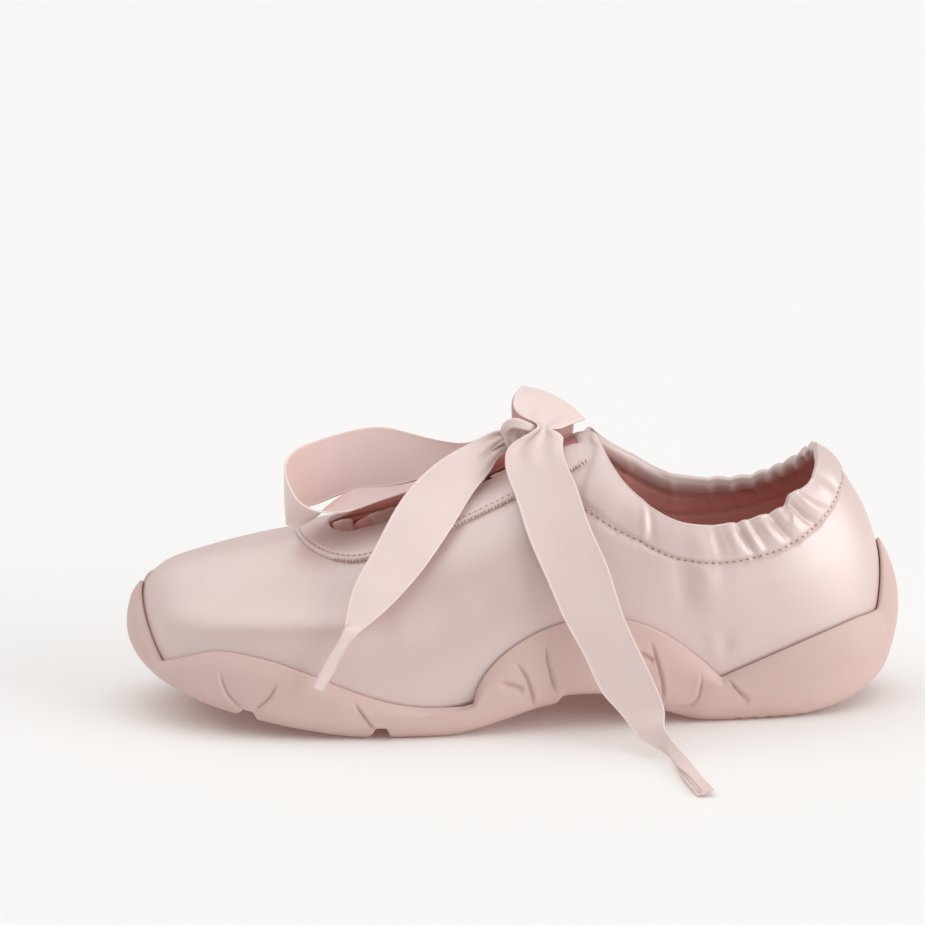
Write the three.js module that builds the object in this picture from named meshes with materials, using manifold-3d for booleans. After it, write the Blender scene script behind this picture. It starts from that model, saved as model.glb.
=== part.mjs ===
// Ballet sneaker, left foot, in mm.
// +X points to the toe, +Y to the outer side, +Z up; the floor is z = 0.
import * as THREE from "three";
import { mergeVertices } from "three/addons/utils/BufferGeometryUtils.js";
import Module from "manifold-3d";

const kernel = await Module();
kernel.setup();
const { Manifold, Mesh } = kernel;

// Driving sizes
const LENGTH = 268;
const BALL_WIDTH = 86;
const INSTEP_HEIGHT = 95;
const HEEL_HEIGHT = 89;
const WALL = 1.9;
const GAP = 0.45;
const STEPS = 4;

// Sections of the upper from the heel back to the toe tip.
// at, topAt: share of the length. outer, inner, topHalf, swing and the two outs: share of the ball width.
// footZ: mm. topZ: share of the heel height for rim rows, of the instep height for the others.
// bellyUp, shoulderDrop: share of the section's own height.
const COLUMNS = [
  "at", "outer", "inner", "footZ", "topAt", "topHalf", "topZ", "swing",
  "bellyOut", "bellyUp", "shoulderOut", "shoulderDrop",
];
const RIM_ROWS = 5;
const APEX = 6;
const SECTIONS = [
  [0.028, 0.000, 0.000, 15.0, 0.101, 0.000, 1.000, 0.000, 0.110, 0.36, 0.233, 0.23],
  [0.063, 0.244, 0.244, 14.5, 0.116, 0.215, 0.910, 0.000, 0.080, 0.36, 0.140, 0.28],
  [0.146, 0.355, 0.349, 13.5, 0.172, 0.345, 0.815, 0.000, 0.055, 0.36, 0.080, 0.33],
  [0.257, 0.390, 0.355, 12.5, 0.254, 0.378, 0.772, 0.000, 0.045, 0.34, 0.065, 0.33],
  [0.358, 0.424, 0.349, 15.0, 0.326, 0.352, 0.838, 0.000, 0.040, 0.34, 0.090, 0.28],
  [0.448, 0.453, 0.360, 16.5, 0.384, 0.180, 0.950, 0.000, 0.032, 0.36, 0.215, 0.10],
  [0.530, 0.488, 0.395, 13.0, 0.405, 0.000, 1.000, 0.000, 0.028, 0.38, 0.310, 0.02],
  [0.619, 0.518, 0.447, 7.5, 0.500, 0.000, 0.884, -0.006, 0.028, 0.42, 0.305, 0.00],
  [0.705, 0.523, 0.477, 7.5, 0.604, 0.000, 0.760, -0.012, 0.028, 0.45, 0.300, 0.00],
  [0.791, 0.506, 0.471, 9.5, 0.709, 0.000, 0.684, -0.023, 0.028, 0.48, 0.290, 0.00],
  [0.873, 0.442, 0.405, 13.0, 0.806, 0.000, 0.638, -0.041, 0.026, 0.50, 0.250, 0.00],
  [0.933, 0.326, 0.279, 17.0, 0.888, 0.000, 0.588, -0.058, 0.022, 0.50, 0.175, 0.00],
  [0.966, 0.165, 0.145, 20.0, 0.938, 0.000, 0.545, -0.070, 0.020, 0.48, 0.090, 0.00],
  [0.976, 0.000, 0.000, 21.0, 0.958, 0.000, 0.505, -0.070, 0.022, 0.45, 0.050, 0.00],
];

// Collar casing: a raised band below the rim
const CASING = { depth: 14, rise: 0.7, full: 4.4, gone: 5.4 };

// Sole
const SOLE = {
  lip: 1.3, sideSwell: 3.6, heelSwell: 6.2, toeSwell: 4.0,
  sideRound: 5, heelRound: 10, toeRound: 12, plateGap: 0.3, insole: 4,
};
// Underside along the length: x, z
const BOTTOM = [
  [-134, 12], [-128, 6.4], [-119, 2.0], [-108, 0], [-92, 0], [-72, 0], [-60, 1.0], [-48, 4.4],
  [-34, 8.6], [-22, 10.2], [-10, 8.4], [4, 4.6], [18, 0.9], [28, 0], [44, 0], [58, 0], [72, 1.6],
  [86, 4.0], [100, 6.6], [112, 9.2], [122, 12.4], [134, 20],
];
// Wave edge: crests and ends of each swell, mm
const WAVE = {
  base: 11,
  heelBack: { crest: 54, rate: 0.365, power: 1.29 },
  heelSide: { from: -116, to: -70.5, high: 32.5, low: 17, power: 1.4 },
  toe: { crest: 43, rate: 0.235, power: 1.34 },
  outer: {
    mid: { crest: 39, at: -26, front: 43.5, backRate: 0.01136 },
    fore: { crest: 30.3, at: 103, back: 83, toeDrop: 7, toeRun: 17.6, power: 1.5 },
  },
  inner: {
    mid: { crest: 39, at: -14, front: 50, backRate: 0.0066 },
    fore: { crest: 30, at: 86, back: 42, toeDrop: 6.5, toeRun: 34, power: 1.3 },
  },
};
// Flex notches across the underside: outer x, inner x, radius, sink below the underside
const NOTCHES = [
  [92, 101, 4.6, 1.4],
  [47.5, 62, 4.6, 1.7],
];
// Grooves of the heel tread: first x, pitch, count, radius
const HEEL_TREAD = { first: -84, pitch: 9, count: 5, radius: 1.9 };
// Grooves pressed in the side wall, as points x, z
const OUTER_GROOVES = [
  [[101, 22], [99.6, 15], [95.5, 9]],
  [[79.5, 23], [82, 15.5], [86.5, 8.5]],
  [[53.5, 15], [50, 8.5], [47, 3.5]],
  [[-3.5, 31], [-8.3, 22.5], [-10, 15], [-10.2, 9]],
  [[-14.5, 36], [-15, 26], [-17, 17], [-18.5, 12.5]],
  [[-49.5, 32], [-53.5, 21], [-55.2, 11], [-55.5, 3.5]],
  [[-67.5, 17.5], [-67.8, 9.5], [-65.6, 4.5], [-61, 2]],
];
const INNER_GROOVES = [
  [[113, 24], [113.5, 14]],
  [[97, 26], [100.5, 10]],
  [[22, 26], [14, 17]],
  [[2, 33], [-8, 20]],
  [[-42, 33], [-52, 24], [-62, 9]],
];
const GROOVE_RADIUS = 1.1;
const SPINE_END = 108;

// Throat: slot and eyestay as tapered ovals in plan
const SLOT = { front: { x: 56, y: -1.6, r: 6.5 }, back: { x: -4, y: 0, r: 8 } };
const EYESTAY = {
  front: { x: 51, y: -1.2, r: 23 }, back: { x: -10, y: 0, r: 23 }, end: -22.5, rise: 1.2,
};
const TONGUE = { front: { x: 58, y: -1.6, r: 15 }, back: { x: -4, y: 0, r: 17 }, thick: 1.6 };
const RIBBON = { thick: 0.8, lace: 0.7, rolled: 4.4, rolledWidth: 5, openWidth: 9 };
// Ribbon bars in the slot, seen in plan: outer x, inner x, width
const LACE_BARS = [
  [42, 47, 15],
  [30, 11, 14],
  [10, 30, 14],
  [-1, 1, 13],
];
const LACE_REACH = 13;

// Bow: each row is a point of the middle line, the width there and the direction of the width
const KNOT = { x: -4, y: 2, z: 97.5, rx: 8.5, ry: 7.5, rz: 7.2 };
const STEM = { x: -4, y: 1, low: 81, halfX: 3.4, halfY: 2.6 };
const LOOP_FRONT = [
  [0, 2.5, 92.6, 8, 0.1, 0.95, 0.2],
  [14, 5, 86.5, 14, 0.05, 0.98, 0.1],
  [32, 9, 79.0, 20, 0, 0.99, 0],
  [54, 14, 72.6, 22, 0, 0.98, 0.1],
  [69, 16, 72.0, 22, 0.1, 0.88, 0.45],
  [77, 11.5, 77.0, 21, 0.15, 0.38, 0.9],
  [73, 3, 81.0, 21, 0, -0.05, 0.99],
  [58, -3, 84.5, 21, 0, -0.12, 0.99],
  [40, -4.5, 86.0, 20, 0, -0.15, 0.99],
  [20, -3, 89.0, 14, 0, -0.1, 0.99],
  [2, 0, 98, 8, 0, 0, 1],
];
const LOOP_BACK = [
  [-5, 0, 101.0, 9, -0.94, -0.05, -0.33],
  [-9, -6, 104.8, 17, -0.92, -0.1, -0.4],
  [-12.5, -15, 104.5, 22, -0.91, -0.1, -0.42],
  [-14.5, -27, 99, 22, -0.93, -0.08, -0.36],
  [-15, -38, 89.5, 22, -0.97, -0.05, -0.2],
  [-14, -42.5, 80, 22, -1, 0, -0.05],
  [-12.5, -38, 75.5, 22, -1, 0, 0],
  [-10.5, -27, 83, 20, -1, 0, 0],
  [-8, -11, 92, 12, -1, 0, 0],
  [-6, -2, 95.5, 8, -1, 0, 0],
];
const TAIL_FRONT = [
  [0, 6, 97.5, 8, 0.55, -0.35, 0.75],
  [9, 13, 93.0, 15, 0.60, -0.38, 0.70],
  [17, 20.5, 86.5, 20, 0.62, -0.40, 0.66],
  [26, 28, 77.5, 22, 0.66, -0.40, 0.63],
  [35.5, 35.5, 67.0, 21, 0.74, -0.38, 0.55],
  [44.5, 42, 56, 17, 0.83, -0.30, 0.47],
  [51.5, 46.5, 46, 11, 0.87, -0.22, 0.44],
  [56.5, 49, 38, 5.5, 0.86, -0.2, 0.47],
  [61, 51, 30, 4.5, 0.82, -0.1, 0.57],
  [67.5, 53, 20, 4.5, 0.78, -0.1, 0.62],
];
const TAIL_SIDE = [
  [-6, 6.5, 99.5, 10, -0.93, 0.1, 0.33],
  [-9, 13.5, 95, 17, -0.92, 0.15, 0.33],
  [-12, 22, 87, 21, -0.92, 0.2, 0.33],
  [-15, 32, 76.5, 22, -0.9, 0.25, 0.35],
  [-19.5, 43, 62, 21, -0.88, 0.3, 0.36],
  [-25.5, 51, 46, 19, -0.87, 0.32, 0.37],
  [-33, 59, 29, 16, -0.86, 0.36, 0.36],
  [-41, 66.5, 14.5, 11.5, -0.84, 0.42, 0.34],
  [-46.5, 74, 5.8, 6, -0.84, 0.5, 0.2],
  [-49.5, 86, 3.0, 5, -0.98, 0.2, 0],
  [-54.5, 118, 2.6, 5, -0.98, 0.13, 0],
];

const pick = (row, name) => row[COLUMNS.indexOf(name)];
const LAST = SECTIONS.length - 1;
const LOOP = 2 * LAST;

// Closed smooth curve through the given values, one value per section round the shoe
function loopCurve(values) {
  const count = values.length;
  const slopes = values.map(() => 0);
  const wrap = (i) => (i + count) % count;
  for (let pass = 0; pass < 60; pass += 1) {
    for (let i = 0; i < count; i += 1) {
      const rise = values[wrap(i + 1)] - values[wrap(i - 1)];
      slopes[i] = (3 * rise - slopes[wrap(i - 1)] - slopes[wrap(i + 1)]) / 4;
    }
  }
  return (u) => {
    const base = Math.floor(u);
    const f = u - base;
    const a = wrap(base % count);
    const b = wrap(a + 1);
    const g = 1 - f;
    const ends = values[a] * (1 + 2 * f) * g * g + values[b] * f * f * (3 - 2 * f);
    return ends + slopes[a] * f * g * g - slopes[b] * f * f * g;
  };
}

function roundTheShoe(valueOf) {
  const out = SECTIONS.map((row, i) => valueOf(row, i, 1));
  const back = SECTIONS.map((row, i) => valueOf(row, i, -1)).slice(1, -1).reverse();
  return loopCurve([...out, ...back]);
}

const inLength = (share) => (share - 0.5) * LENGTH;
const topHeight = (row, i) => pick(row, "topZ") * (i < RIM_ROWS ? HEEL_HEIGHT : INSTEP_HEIGHT);
const sectionRise = (row, i) => topHeight(row, i) - pick(row, "footZ");
const CURVES = {
  footX: roundTheShoe((row) => inLength(pick(row, "at"))),
  footY: roundTheShoe((row, i, side) => {
    const half = side > 0 ? pick(row, "outer") : pick(row, "inner");
    return BALL_WIDTH * (pick(row, "swing") + side * half);
  }),
  footZ: roundTheShoe((row) => pick(row, "footZ")),
  topX: roundTheShoe((row) => inLength(pick(row, "topAt"))),
  topHalf: roundTheShoe((row, i, side) => side * BALL_WIDTH * pick(row, "topHalf")),
  topZ: roundTheShoe((row, i) => topHeight(row, i)),
  swing: roundTheShoe((row) => BALL_WIDTH * pick(row, "swing")),
  bellyOut: roundTheShoe((row) => BALL_WIDTH * pick(row, "bellyOut")),
  bellyUp: roundTheShoe((row, i) => pick(row, "bellyUp") * sectionRise(row, i)),
  shoulderOut: roundTheShoe((row) => BALL_WIDTH * pick(row, "shoulderOut")),
  shoulderDrop: roundTheShoe((row, i) => pick(row, "shoulderDrop") * sectionRise(row, i)),
};

const wrapLoop = (u) => ((u % LOOP) + LOOP) % LOOP;
const fromHeel = (u) => Math.min(wrapLoop(u), LOOP - wrapLoop(u));
const isVamp = (u) => fromHeel(u) >= APEX - 1e-6;
const sideOf = (u) => (wrapLoop(u) <= LAST ? 1 : -1);
const smooth = (x, a, b) => {
  const t = Math.min(1, Math.max(0, (x - a) / (b - a)));
  return t * t * (3 - 2 * t);
};

function footAt(u) {
  const w = wrapLoop(u);
  return new THREE.Vector3(CURVES.footX(w), CURVES.footY(w), CURVES.footZ(w));
}

function outwardAt(u) {
  const ahead = footAt(u + 0.01).sub(footAt(u - 0.01));
  return new THREE.Vector3(-ahead.y, ahead.x, 0).normalize();
}

function topAt(u) {
  const w = wrapLoop(u);
  const half = isVamp(u) ? 0 : sideOf(u) * Math.max(0, sideOf(u) * CURVES.topHalf(w));
  return new THREE.Vector3(CURVES.topX(w), CURVES.swing(w) + half, CURVES.topZ(w));
}

function ridgeSlope(u) {
  const ahead = topAt(u + 0.02).sub(topAt(u - 0.02));
  const slope = Math.abs(ahead.x) > 1e-6 ? ahead.z / ahead.x : 0;
  return Math.max(-1.2, Math.min(0.2, slope)) * smooth(fromHeel(u), APEX - 0.6, APEX + 0.2);
}

const sectionCache = new Map();

// The four handles of one section, foot to top
function sectionAt(u) {
  const key = wrapLoop(u).toFixed(5);
  if (sectionCache.has(key)) {
    return sectionCache.get(key);
  }
  const w = wrapLoop(u);
  const foot = footAt(u);
  const top = topAt(u);
  const out = outwardAt(u);
  const belly = foot.clone().addScaledVector(out, CURVES.bellyOut(w));
  belly.z += CURVES.bellyUp(w);
  const reach = CURVES.shoulderOut(w);
  const shoulder = top.clone().addScaledVector(out, reach);
  shoulder.z += ridgeSlope(u) * out.x * reach - CURVES.shoulderDrop(w);
  const section = [foot, belly, shoulder, top];
  sectionCache.set(key, section);
  return section;
}

function surface(u, t) {
  const [a, b, c, d] = sectionAt(u);
  const s = 1 - t;
  return new THREE.Vector3()
    .addScaledVector(a, s * s * s)
    .addScaledVector(b, 3 * s * s * t)
    .addScaledVector(c, 3 * s * t * t)
    .addScaledVector(d, t * t * t);
}

function sideNormal(u, t) {
  const t0 = Math.max(0, t - 0.01);
  const t1 = Math.min(1, t + 0.01);
  const up = surface(u, t1).sub(surface(u, t0));
  const along = surface(u + 0.01, t).sub(surface(u - 0.01, t));
  return new THREE.Vector3().crossVectors(up, along).normalize();
}

function normal(u, t) {
  if (t > 1 - 1e-6 && isVamp(u)) {
    return sideNormal(u, t).add(sideNormal(LOOP - wrapLoop(u), t)).normalize();
  }
  return sideNormal(u, t);
}

const offset = (u, t, d) => surface(u, t).addScaledVector(normal(u, t), d);

function meshOf(triangles) {
  const flat = new Float32Array(triangles.length * 9);
  triangles.forEach((corners, i) => {
    corners.forEach((p, k) => flat.set([p.x, p.y, p.z], i * 9 + k * 3));
  });
  const geometry = new THREE.BufferGeometry();
  geometry.setAttribute("position", new THREE.BufferAttribute(flat, 3));
  return mergeVertices(geometry, 1e-3);
}

function quad(list, a, b, c, d) {
  const same = (p, q) => p.distanceToSquared(q) < 1e-6;
  const keep = (p, q, r) => {
    if (!same(p, q) && !same(q, r) && !same(r, p)) {
      list.push([p, q, r]);
    }
  };
  keep(a, b, c);
  keep(a, c, d);
}

function toManifold(geometry) {
  const welded = mergeVertices(geometry, 1e-3);
  const index = welded.index.array;
  const position = welded.attributes.position;
  const faces = [];
  for (let i = 0; i < index.length; i += 3) {
    const [a, b, c] = [index[i], index[i + 1], index[i + 2]];
    if (a !== b && b !== c && c !== a) {
      faces.push(a, b, c);
    }
  }
  const vertProperties = new Float32Array(position.array.slice(0, position.count * 3));
  const mesh = new Mesh({ numProp: 3, vertProperties, triVerts: new Uint32Array(faces) });
  mesh.merge();
  return Manifold.ofMesh(mesh);
}

function fromManifold(manifold) {
  const mesh = manifold.getMesh();
  const geometry = new THREE.BufferGeometry();
  const points = new Float32Array(mesh.numVert * 3);
  for (let i = 0; i < mesh.numVert; i += 1) {
    points.set(mesh.vertProperties.slice(i * mesh.numProp, i * mesh.numProp + 3), i * 3);
  }
  geometry.setAttribute("position", new THREE.BufferAttribute(points, 3));
  geometry.setIndex(new THREE.BufferAttribute(new Uint32Array(mesh.triVerts), 1));
  return geometry;
}

// Closed wall between two offsets of the upper's surface; the casing raises both
function wallBetween(inner, outer, levels, casing) {
  const columns = [];
  for (let i = 0; i < LOOP * STEPS; i += 1) {
    const u = i / STEPS;
    const fade = 1 - smooth(fromHeel(u), CASING.full, CASING.gone);
    const rise = casing ? CASING.rise * fade : 0;
    const height = surface(u, 1).distanceTo(surface(u, 0));
    const edge = 1 - Math.min(0.45, CASING.depth / height) * 0.86;
    const column = { u, inside: [], outside: [] };
    levels.forEach((level) => {
      const t = level <= 1 ? level * edge : edge + (level - 1) * (1 - edge);
      const lift = level > 1 ? rise : 0;
      column.outside.push(offset(u, t, outer + lift));
      column.inside.push(offset(u, t, inner));
    });
    columns.push(column);
  }
  const list = [];
  const last = levels.length - 1;
  columns.forEach((a, i) => {
    const b = columns[(i + 1) % columns.length];
    for (let j = 0; j < last; j += 1) {
      quad(list, a.outside[j], a.outside[j + 1], b.outside[j + 1], b.outside[j]);
      quad(list, a.inside[j], b.inside[j], b.inside[j + 1], a.inside[j + 1]);
    }
    quad(list, a.inside[0], a.outside[0], b.outside[0], b.inside[0]);
    const middle = (i + 0.5) / STEPS;
    if (!isVamp(middle)) {
      quad(list, a.outside[last], a.inside[last], b.inside[last], b.outside[last]);
    }
  });
  return toManifold(meshOf(list));
}

// Upright prism over a tapered oval
function ovalPrism(oval, low, high, grow) {
  const { front, back } = oval;
  const run = front.x - back.x;
  const tilt = Math.asin((front.r - back.r) / run);
  const lean = Math.atan2(front.y - back.y, run);
  const quarter = Math.PI / 2;
  const shape = new THREE.Shape();
  shape.absarc(front.x, front.y, front.r + grow, lean - quarter - tilt, lean + quarter + tilt, false);
  shape.absarc(back.x, back.y, back.r + grow, lean + quarter + tilt, lean + 3 * quarter - tilt, false);
  const solid = new THREE.ExtrudeGeometry(shape, {
    depth: high - low, bevelEnabled: false, curveSegments: 8,
  });
  solid.translate(0, 0, low);
  return toManifold(solid);
}

function boxBlock(x0, x1, y0, y1, z0, z1) {
  const box = new THREE.BoxGeometry(x1 - x0, y1 - y0, z1 - z0);
  box.translate((x0 + x1) / 2, (y0 + y1) / 2, (z0 + z1) / 2);
  box.deleteAttribute("normal");
  box.deleteAttribute("uv");
  return toManifold(box);
}

// Sole
function bottomHeight(x) {
  const rows = BOTTOM;
  if (x <= rows[0][0]) {
    return rows[0][1];
  }
  for (let i = 0; i < rows.length - 1; i += 1) {
    const [x0, z0] = rows[i];
    const [x1, z1] = rows[i + 1];
    if (x <= x1) {
      const slopeAt = (k) => {
        const before = rows[Math.max(0, k - 1)];
        const after = rows[Math.min(rows.length - 1, k + 1)];
        return rows[k][1] === 0 ? 0 : (after[1] - before[1]) / (after[0] - before[0]);
      };
      const h = x1 - x0;
      const f = (x - x0) / h;
      const g = 1 - f;
      const ends = z0 * (1 + 2 * f) * g * g + z1 * f * f * (3 - 2 * f);
      return Math.max(0, ends + h * (slopeAt(i) * f * g * g - slopeAt(i + 1) * f * f * g));
    }
  }
  return rows[rows.length - 1][1];
}

function outlineRun(from, to) {
  let run = 0;
  const pieces = 24;
  for (let i = 0; i < pieces; i += 1) {
    const a = footAt(from + ((to - from) * i) / pieces);
    const b = footAt(from + ((to - from) * (i + 1)) / pieces);
    run += Math.hypot(b.x - a.x, b.y - a.y);
  }
  return run;
}

function edgeHeight(u) {
  const side = sideOf(u) > 0 ? WAVE.outer : WAVE.inner;
  const x = footAt(u).x;
  const far = fromHeel(u);
  const heights = [WAVE.base];
  if (far < 2) {
    const run = outlineRun(0, far);
    heights.push(WAVE.heelBack.crest - WAVE.heelBack.rate * run ** WAVE.heelBack.power);
  }
  if (far > LAST - 3.5) {
    const run = outlineRun(far, LAST);
    heights.push(WAVE.toe.crest - WAVE.toe.rate * run ** WAVE.toe.power);
  }
  const heel = WAVE.heelSide;
  const share = Math.max(0, (x - heel.from) / (heel.to - heel.from));
  heights.push(heel.high - (heel.high - heel.low) * share ** heel.power);
  const { mid, fore } = side;
  if (x > mid.at) {
    const part = 1 - ((x - mid.at) / mid.front) ** 2;
    heights.push(part > 0 ? WAVE.base + (mid.crest - WAVE.base) * Math.sqrt(part) : 0);
  } else {
    heights.push(mid.crest - mid.backRate * (x - mid.at) ** 2);
  }
  if (x > fore.at) {
    heights.push(fore.crest - fore.toeDrop * ((x - fore.at) / fore.toeRun) ** fore.power);
  } else if (x > fore.at - fore.back) {
    const turn = (Math.PI * (fore.at - x)) / fore.back;
    heights.push(WAVE.base + ((fore.crest - WAVE.base) * (1 + Math.cos(turn))) / 2);
  }
  return Math.max(...heights);
}

function levelAt(u, z) {
  let low = 0;
  let high = 1;
  for (let i = 0; i < 40; i += 1) {
    const middle = (low + high) / 2;
    if (surface(u, middle).z < z) {
      low = middle;
    } else {
      high = middle;
    }
  }
  return (low + high) / 2;
}

function soleColumn(u) {
  const foot = footAt(u);
  const out = outwardAt(u);
  const heelness = Math.max(0, -out.x) ** 2;
  const toeness = Math.max(0, out.x) ** 2;
  const swell = SOLE.sideSwell
    + (SOLE.heelSwell - SOLE.sideSwell) * heelness
    + (SOLE.toeSwell - SOLE.sideSwell) * toeness;
  const round = SOLE.sideRound
    + (SOLE.heelRound - SOLE.sideRound) * heelness
    + (SOLE.toeRound - SOLE.sideRound) * toeness;
  const edge = levelAt(u, edgeHeight(u));
  const plate = foot.z - SOLE.plateGap;
  const points = [];
  const corner = offset(u, 0, GAP);
  points.push(new THREE.Vector3(corner.x, corner.y, plate));
  [0.34, 0.67, 1].forEach((k) => points.push(offset(u, edge * k, GAP)));
  [1, 0.72, 0.4, 0.1].forEach((k) => {
    const thick = SOLE.lip + (swell - SOLE.lip) * Math.sin((Math.PI / 2) * Math.min(1, (1 - k) * 1.5));
    points.push(offset(u, edge * k, GAP + thick));
  });
  const rim = foot.clone().addScaledVector(out, swell + GAP);
  const inner = foot.clone().addScaledVector(out, swell + GAP - round);
  const low = bottomHeight(inner.x);
  const rise = Math.min(round * 1.05, Math.max(1.2, foot.z - 1.5 - low));
  [0, 0.4, 0.75, 1].forEach((k) => {
    const turn = (Math.PI / 2) * k;
    const point = inner.clone().addScaledVector(out, round * Math.cos(turn));
    point.z = low + rise * (1 - Math.sin(turn));
    points.push(point);
  });
  const under = rim.clone().addScaledVector(out, -(round + 9));
  under.z = bottomHeight(under.x);
  points.push(under);
  return points;
}

// Middle line of the bed; the columns round the heel and the toe share its ends
function spineAt(u, lift) {
  const ends = [sectionFor(-SPINE_END, 1), sectionFor(SPINE_END, 1)];
  const far = Math.min(ends[1], Math.max(ends[0], fromHeel(u)));
  const middle = footAt(far).add(footAt(LOOP - far)).multiplyScalar(0.5);
  middle.z += lift;
  return middle;
}

function buildSole() {
  const columns = [];
  for (let i = 0; i < LOOP * STEPS; i += 1) {
    columns.push(soleColumn(i / STEPS));
  }
  const spine = (i, high) => {
    const point = spineAt(i / STEPS, -SOLE.plateGap);
    point.z = high ? point.z : bottomHeight(point.x);
    return point;
  };
  const list = [];
  const last = columns[0].length - 1;
  columns.forEach((a, i) => {
    const next = (i + 1) % columns.length;
    const b = columns[next];
    for (let j = 0; j < last; j += 1) {
      quad(list, a[j], b[j], b[j + 1], a[j + 1]);
    }
    quad(list, spine(i, true), spine(next, true), b[0], a[0]);
    quad(list, a[last], b[last], spine(next, false), spine(i, false));
  });
  return toManifold(meshOf(list));
}

// Round bar along points, for grooves
function tube(points, radius, sides, perSpan) {
  const path = new THREE.CatmullRomCurve3(points);
  const pieces = (points.length - 1) * perSpan;
  const frames = path.computeFrenetFrames(pieces, false);
  const rings = [];
  for (let i = 0; i <= pieces; i += 1) {
    const centre = path.getPoint(i / pieces);
    const ring = [];
    for (let k = 0; k < sides; k += 1) {
      const turn = (2 * Math.PI * k) / sides;
      ring.push(centre.clone()
        .addScaledVector(frames.normals[i], radius * Math.cos(turn))
        .addScaledVector(frames.binormals[i], radius * Math.sin(turn)));
    }
    rings.push(ring);
  }
  const list = [];
  for (let i = 0; i < pieces; i += 1) {
    for (let k = 0; k < sides; k += 1) {
      const m = (k + 1) % sides;
      quad(list, rings[i][k], rings[i][m], rings[i + 1][m], rings[i + 1][k]);
    }
  }
  const first = path.getPoint(0);
  const end = path.getPoint(1);
  for (let k = 0; k < sides; k += 1) {
    const m = (k + 1) % sides;
    list.push([first, rings[0][m], rings[0][k]]);
    list.push([end, rings[pieces][k], rings[pieces][m]]);
  }
  return toManifold(meshOf(list));
}

// Section number whose foot lies at x, on the outer (1) or inner (-1) side
function sectionFor(x, side) {
  let low = 0;
  let high = LAST;
  for (let i = 0; i < 40; i += 1) {
    const middle = (low + high) / 2;
    if (CURVES.footX(middle) < x) {
      low = middle;
    } else {
      high = middle;
    }
  }
  const u = (low + high) / 2;
  return side > 0 ? u : LOOP - u;
}

// Point of the sole's side wall at x and height z
function wallPoint(x, z, side) {
  const u = sectionFor(x, side);
  const points = soleColumn(u).slice(4, -1);
  for (let i = 0; i < points.length - 1; i += 1) {
    const [a, b] = [points[i], points[i + 1]];
    if (z <= a.z && z >= b.z) {
      return a.clone().lerp(b, (a.z - z) / Math.max(1e-6, a.z - b.z));
    }
  }
  return z > points[0].z ? points[0].clone() : points[points.length - 1].clone();
}

function soleSolid() {
  let sole = buildSole();
  const across = (x0, x1, radius, lift) => {
    const points = [];
    for (let k = 0; k <= 2; k += 1) {
      const f = k / 2;
      const x = x0 + (x1 - x0) * f;
      points.push(new THREE.Vector3(x, 62 - 124 * f, bottomHeight(x) + lift));
    }
    return tube(points, radius, 6, 1);
  };
  NOTCHES.forEach(([x0, x1, radius, sink]) => {
    sole = sole.subtract(across(x0, x1, radius, -sink));
  });
  for (let i = 0; i < HEEL_TREAD.count; i += 1) {
    const x = HEEL_TREAD.first - i * HEEL_TREAD.pitch;
    sole = sole.subtract(across(x, x, HEEL_TREAD.radius, -0.4));
  }
  const press = (rows, side) => rows.forEach((row) => {
    const points = row.map(([x, z]) => wallPoint(x, z, side));
    sole = sole.subtract(tube(points, GROOVE_RADIUS, 5, 2));
  });
  press(OUTER_GROOVES, 1);
  press(INNER_GROOVES, -1);
  return sole;
}

function insoleSolid() {
  const columns = [];
  const count = LOOP * STEPS;
  for (let i = 0; i < count; i += 1) {
    const u = i / STEPS;
    const foot = footAt(u);
    const out = outwardAt(u);
    const edge = foot.clone().addScaledVector(out, -(WALL + 0.6));
    const top = foot.z + SOLE.insole;
    columns.push([
      new THREE.Vector3(edge.x, edge.y, top),
      new THREE.Vector3(edge.x, edge.y, foot.z + 0.1),
    ]);
  }
  const spine = (i, lift) => spineAt(i / STEPS, lift);
  const list = [];
  columns.forEach((a, i) => {
    const next = (i + 1) % count;
    const b = columns[next];
    quad(list, a[0], b[0], b[1], a[1]);
    quad(list, spine(i, SOLE.insole), spine(next, SOLE.insole), b[0], a[0]);
    quad(list, a[1], b[1], spine(next, 0.1), spine(i, 0.1));
  });
  return toManifold(meshOf(list));
}

// Levels of a wall with no casing step
const FLAT_LEVELS = [0, 0.2, 0.4, 0.6, 0.8, 1, 1.5, 2];

// Flat strip along a row table; it thickens where it is rolled up narrow
function ribbon(rows, pieces) {
  const path = new THREE.CatmullRomCurve3(rows.map((r) => new THREE.Vector3(r[0], r[1], r[2])));
  const wide = new THREE.CatmullRomCurve3(
    rows.map((r) => new THREE.Vector3(r[4], r[5], r[6]).normalize().multiplyScalar(r[3] / 2)),
  );
  const rings = [];
  for (let i = 0; i <= pieces; i += 1) {
    const f = i / pieces;
    const centre = path.getPoint(f);
    const along = path.getTangent(f);
    const half = wide.getPoint(f);
    const reach = half.length();
    half.addScaledVector(along, -half.dot(along)).setLength(reach);
    const open = f < 0.5 ? 1 : smooth(2 * reach, RIBBON.rolledWidth, RIBBON.openWidth);
    const thick = RIBBON.rolled + (RIBBON.thick - RIBBON.rolled) * open;
    const face = new THREE.Vector3().crossVectors(along, half).setLength(thick / 2);
    rings.push([
      centre.clone().add(half).add(face),
      centre.clone().sub(half).add(face),
      centre.clone().sub(half).sub(face),
      centre.clone().add(half).sub(face),
    ]);
  }
  const list = [];
  for (let i = 0; i < pieces; i += 1) {
    for (let k = 0; k < 4; k += 1) {
      const m = (k + 1) % 4;
      quad(list, rings[i][k], rings[i][m], rings[i + 1][m], rings[i + 1][k]);
    }
  }
  quad(list, rings[0][3], rings[0][2], rings[0][1], rings[0][0]);
  quad(list, ...rings[pieces]);
  return toManifold(meshOf(list));
}

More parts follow.
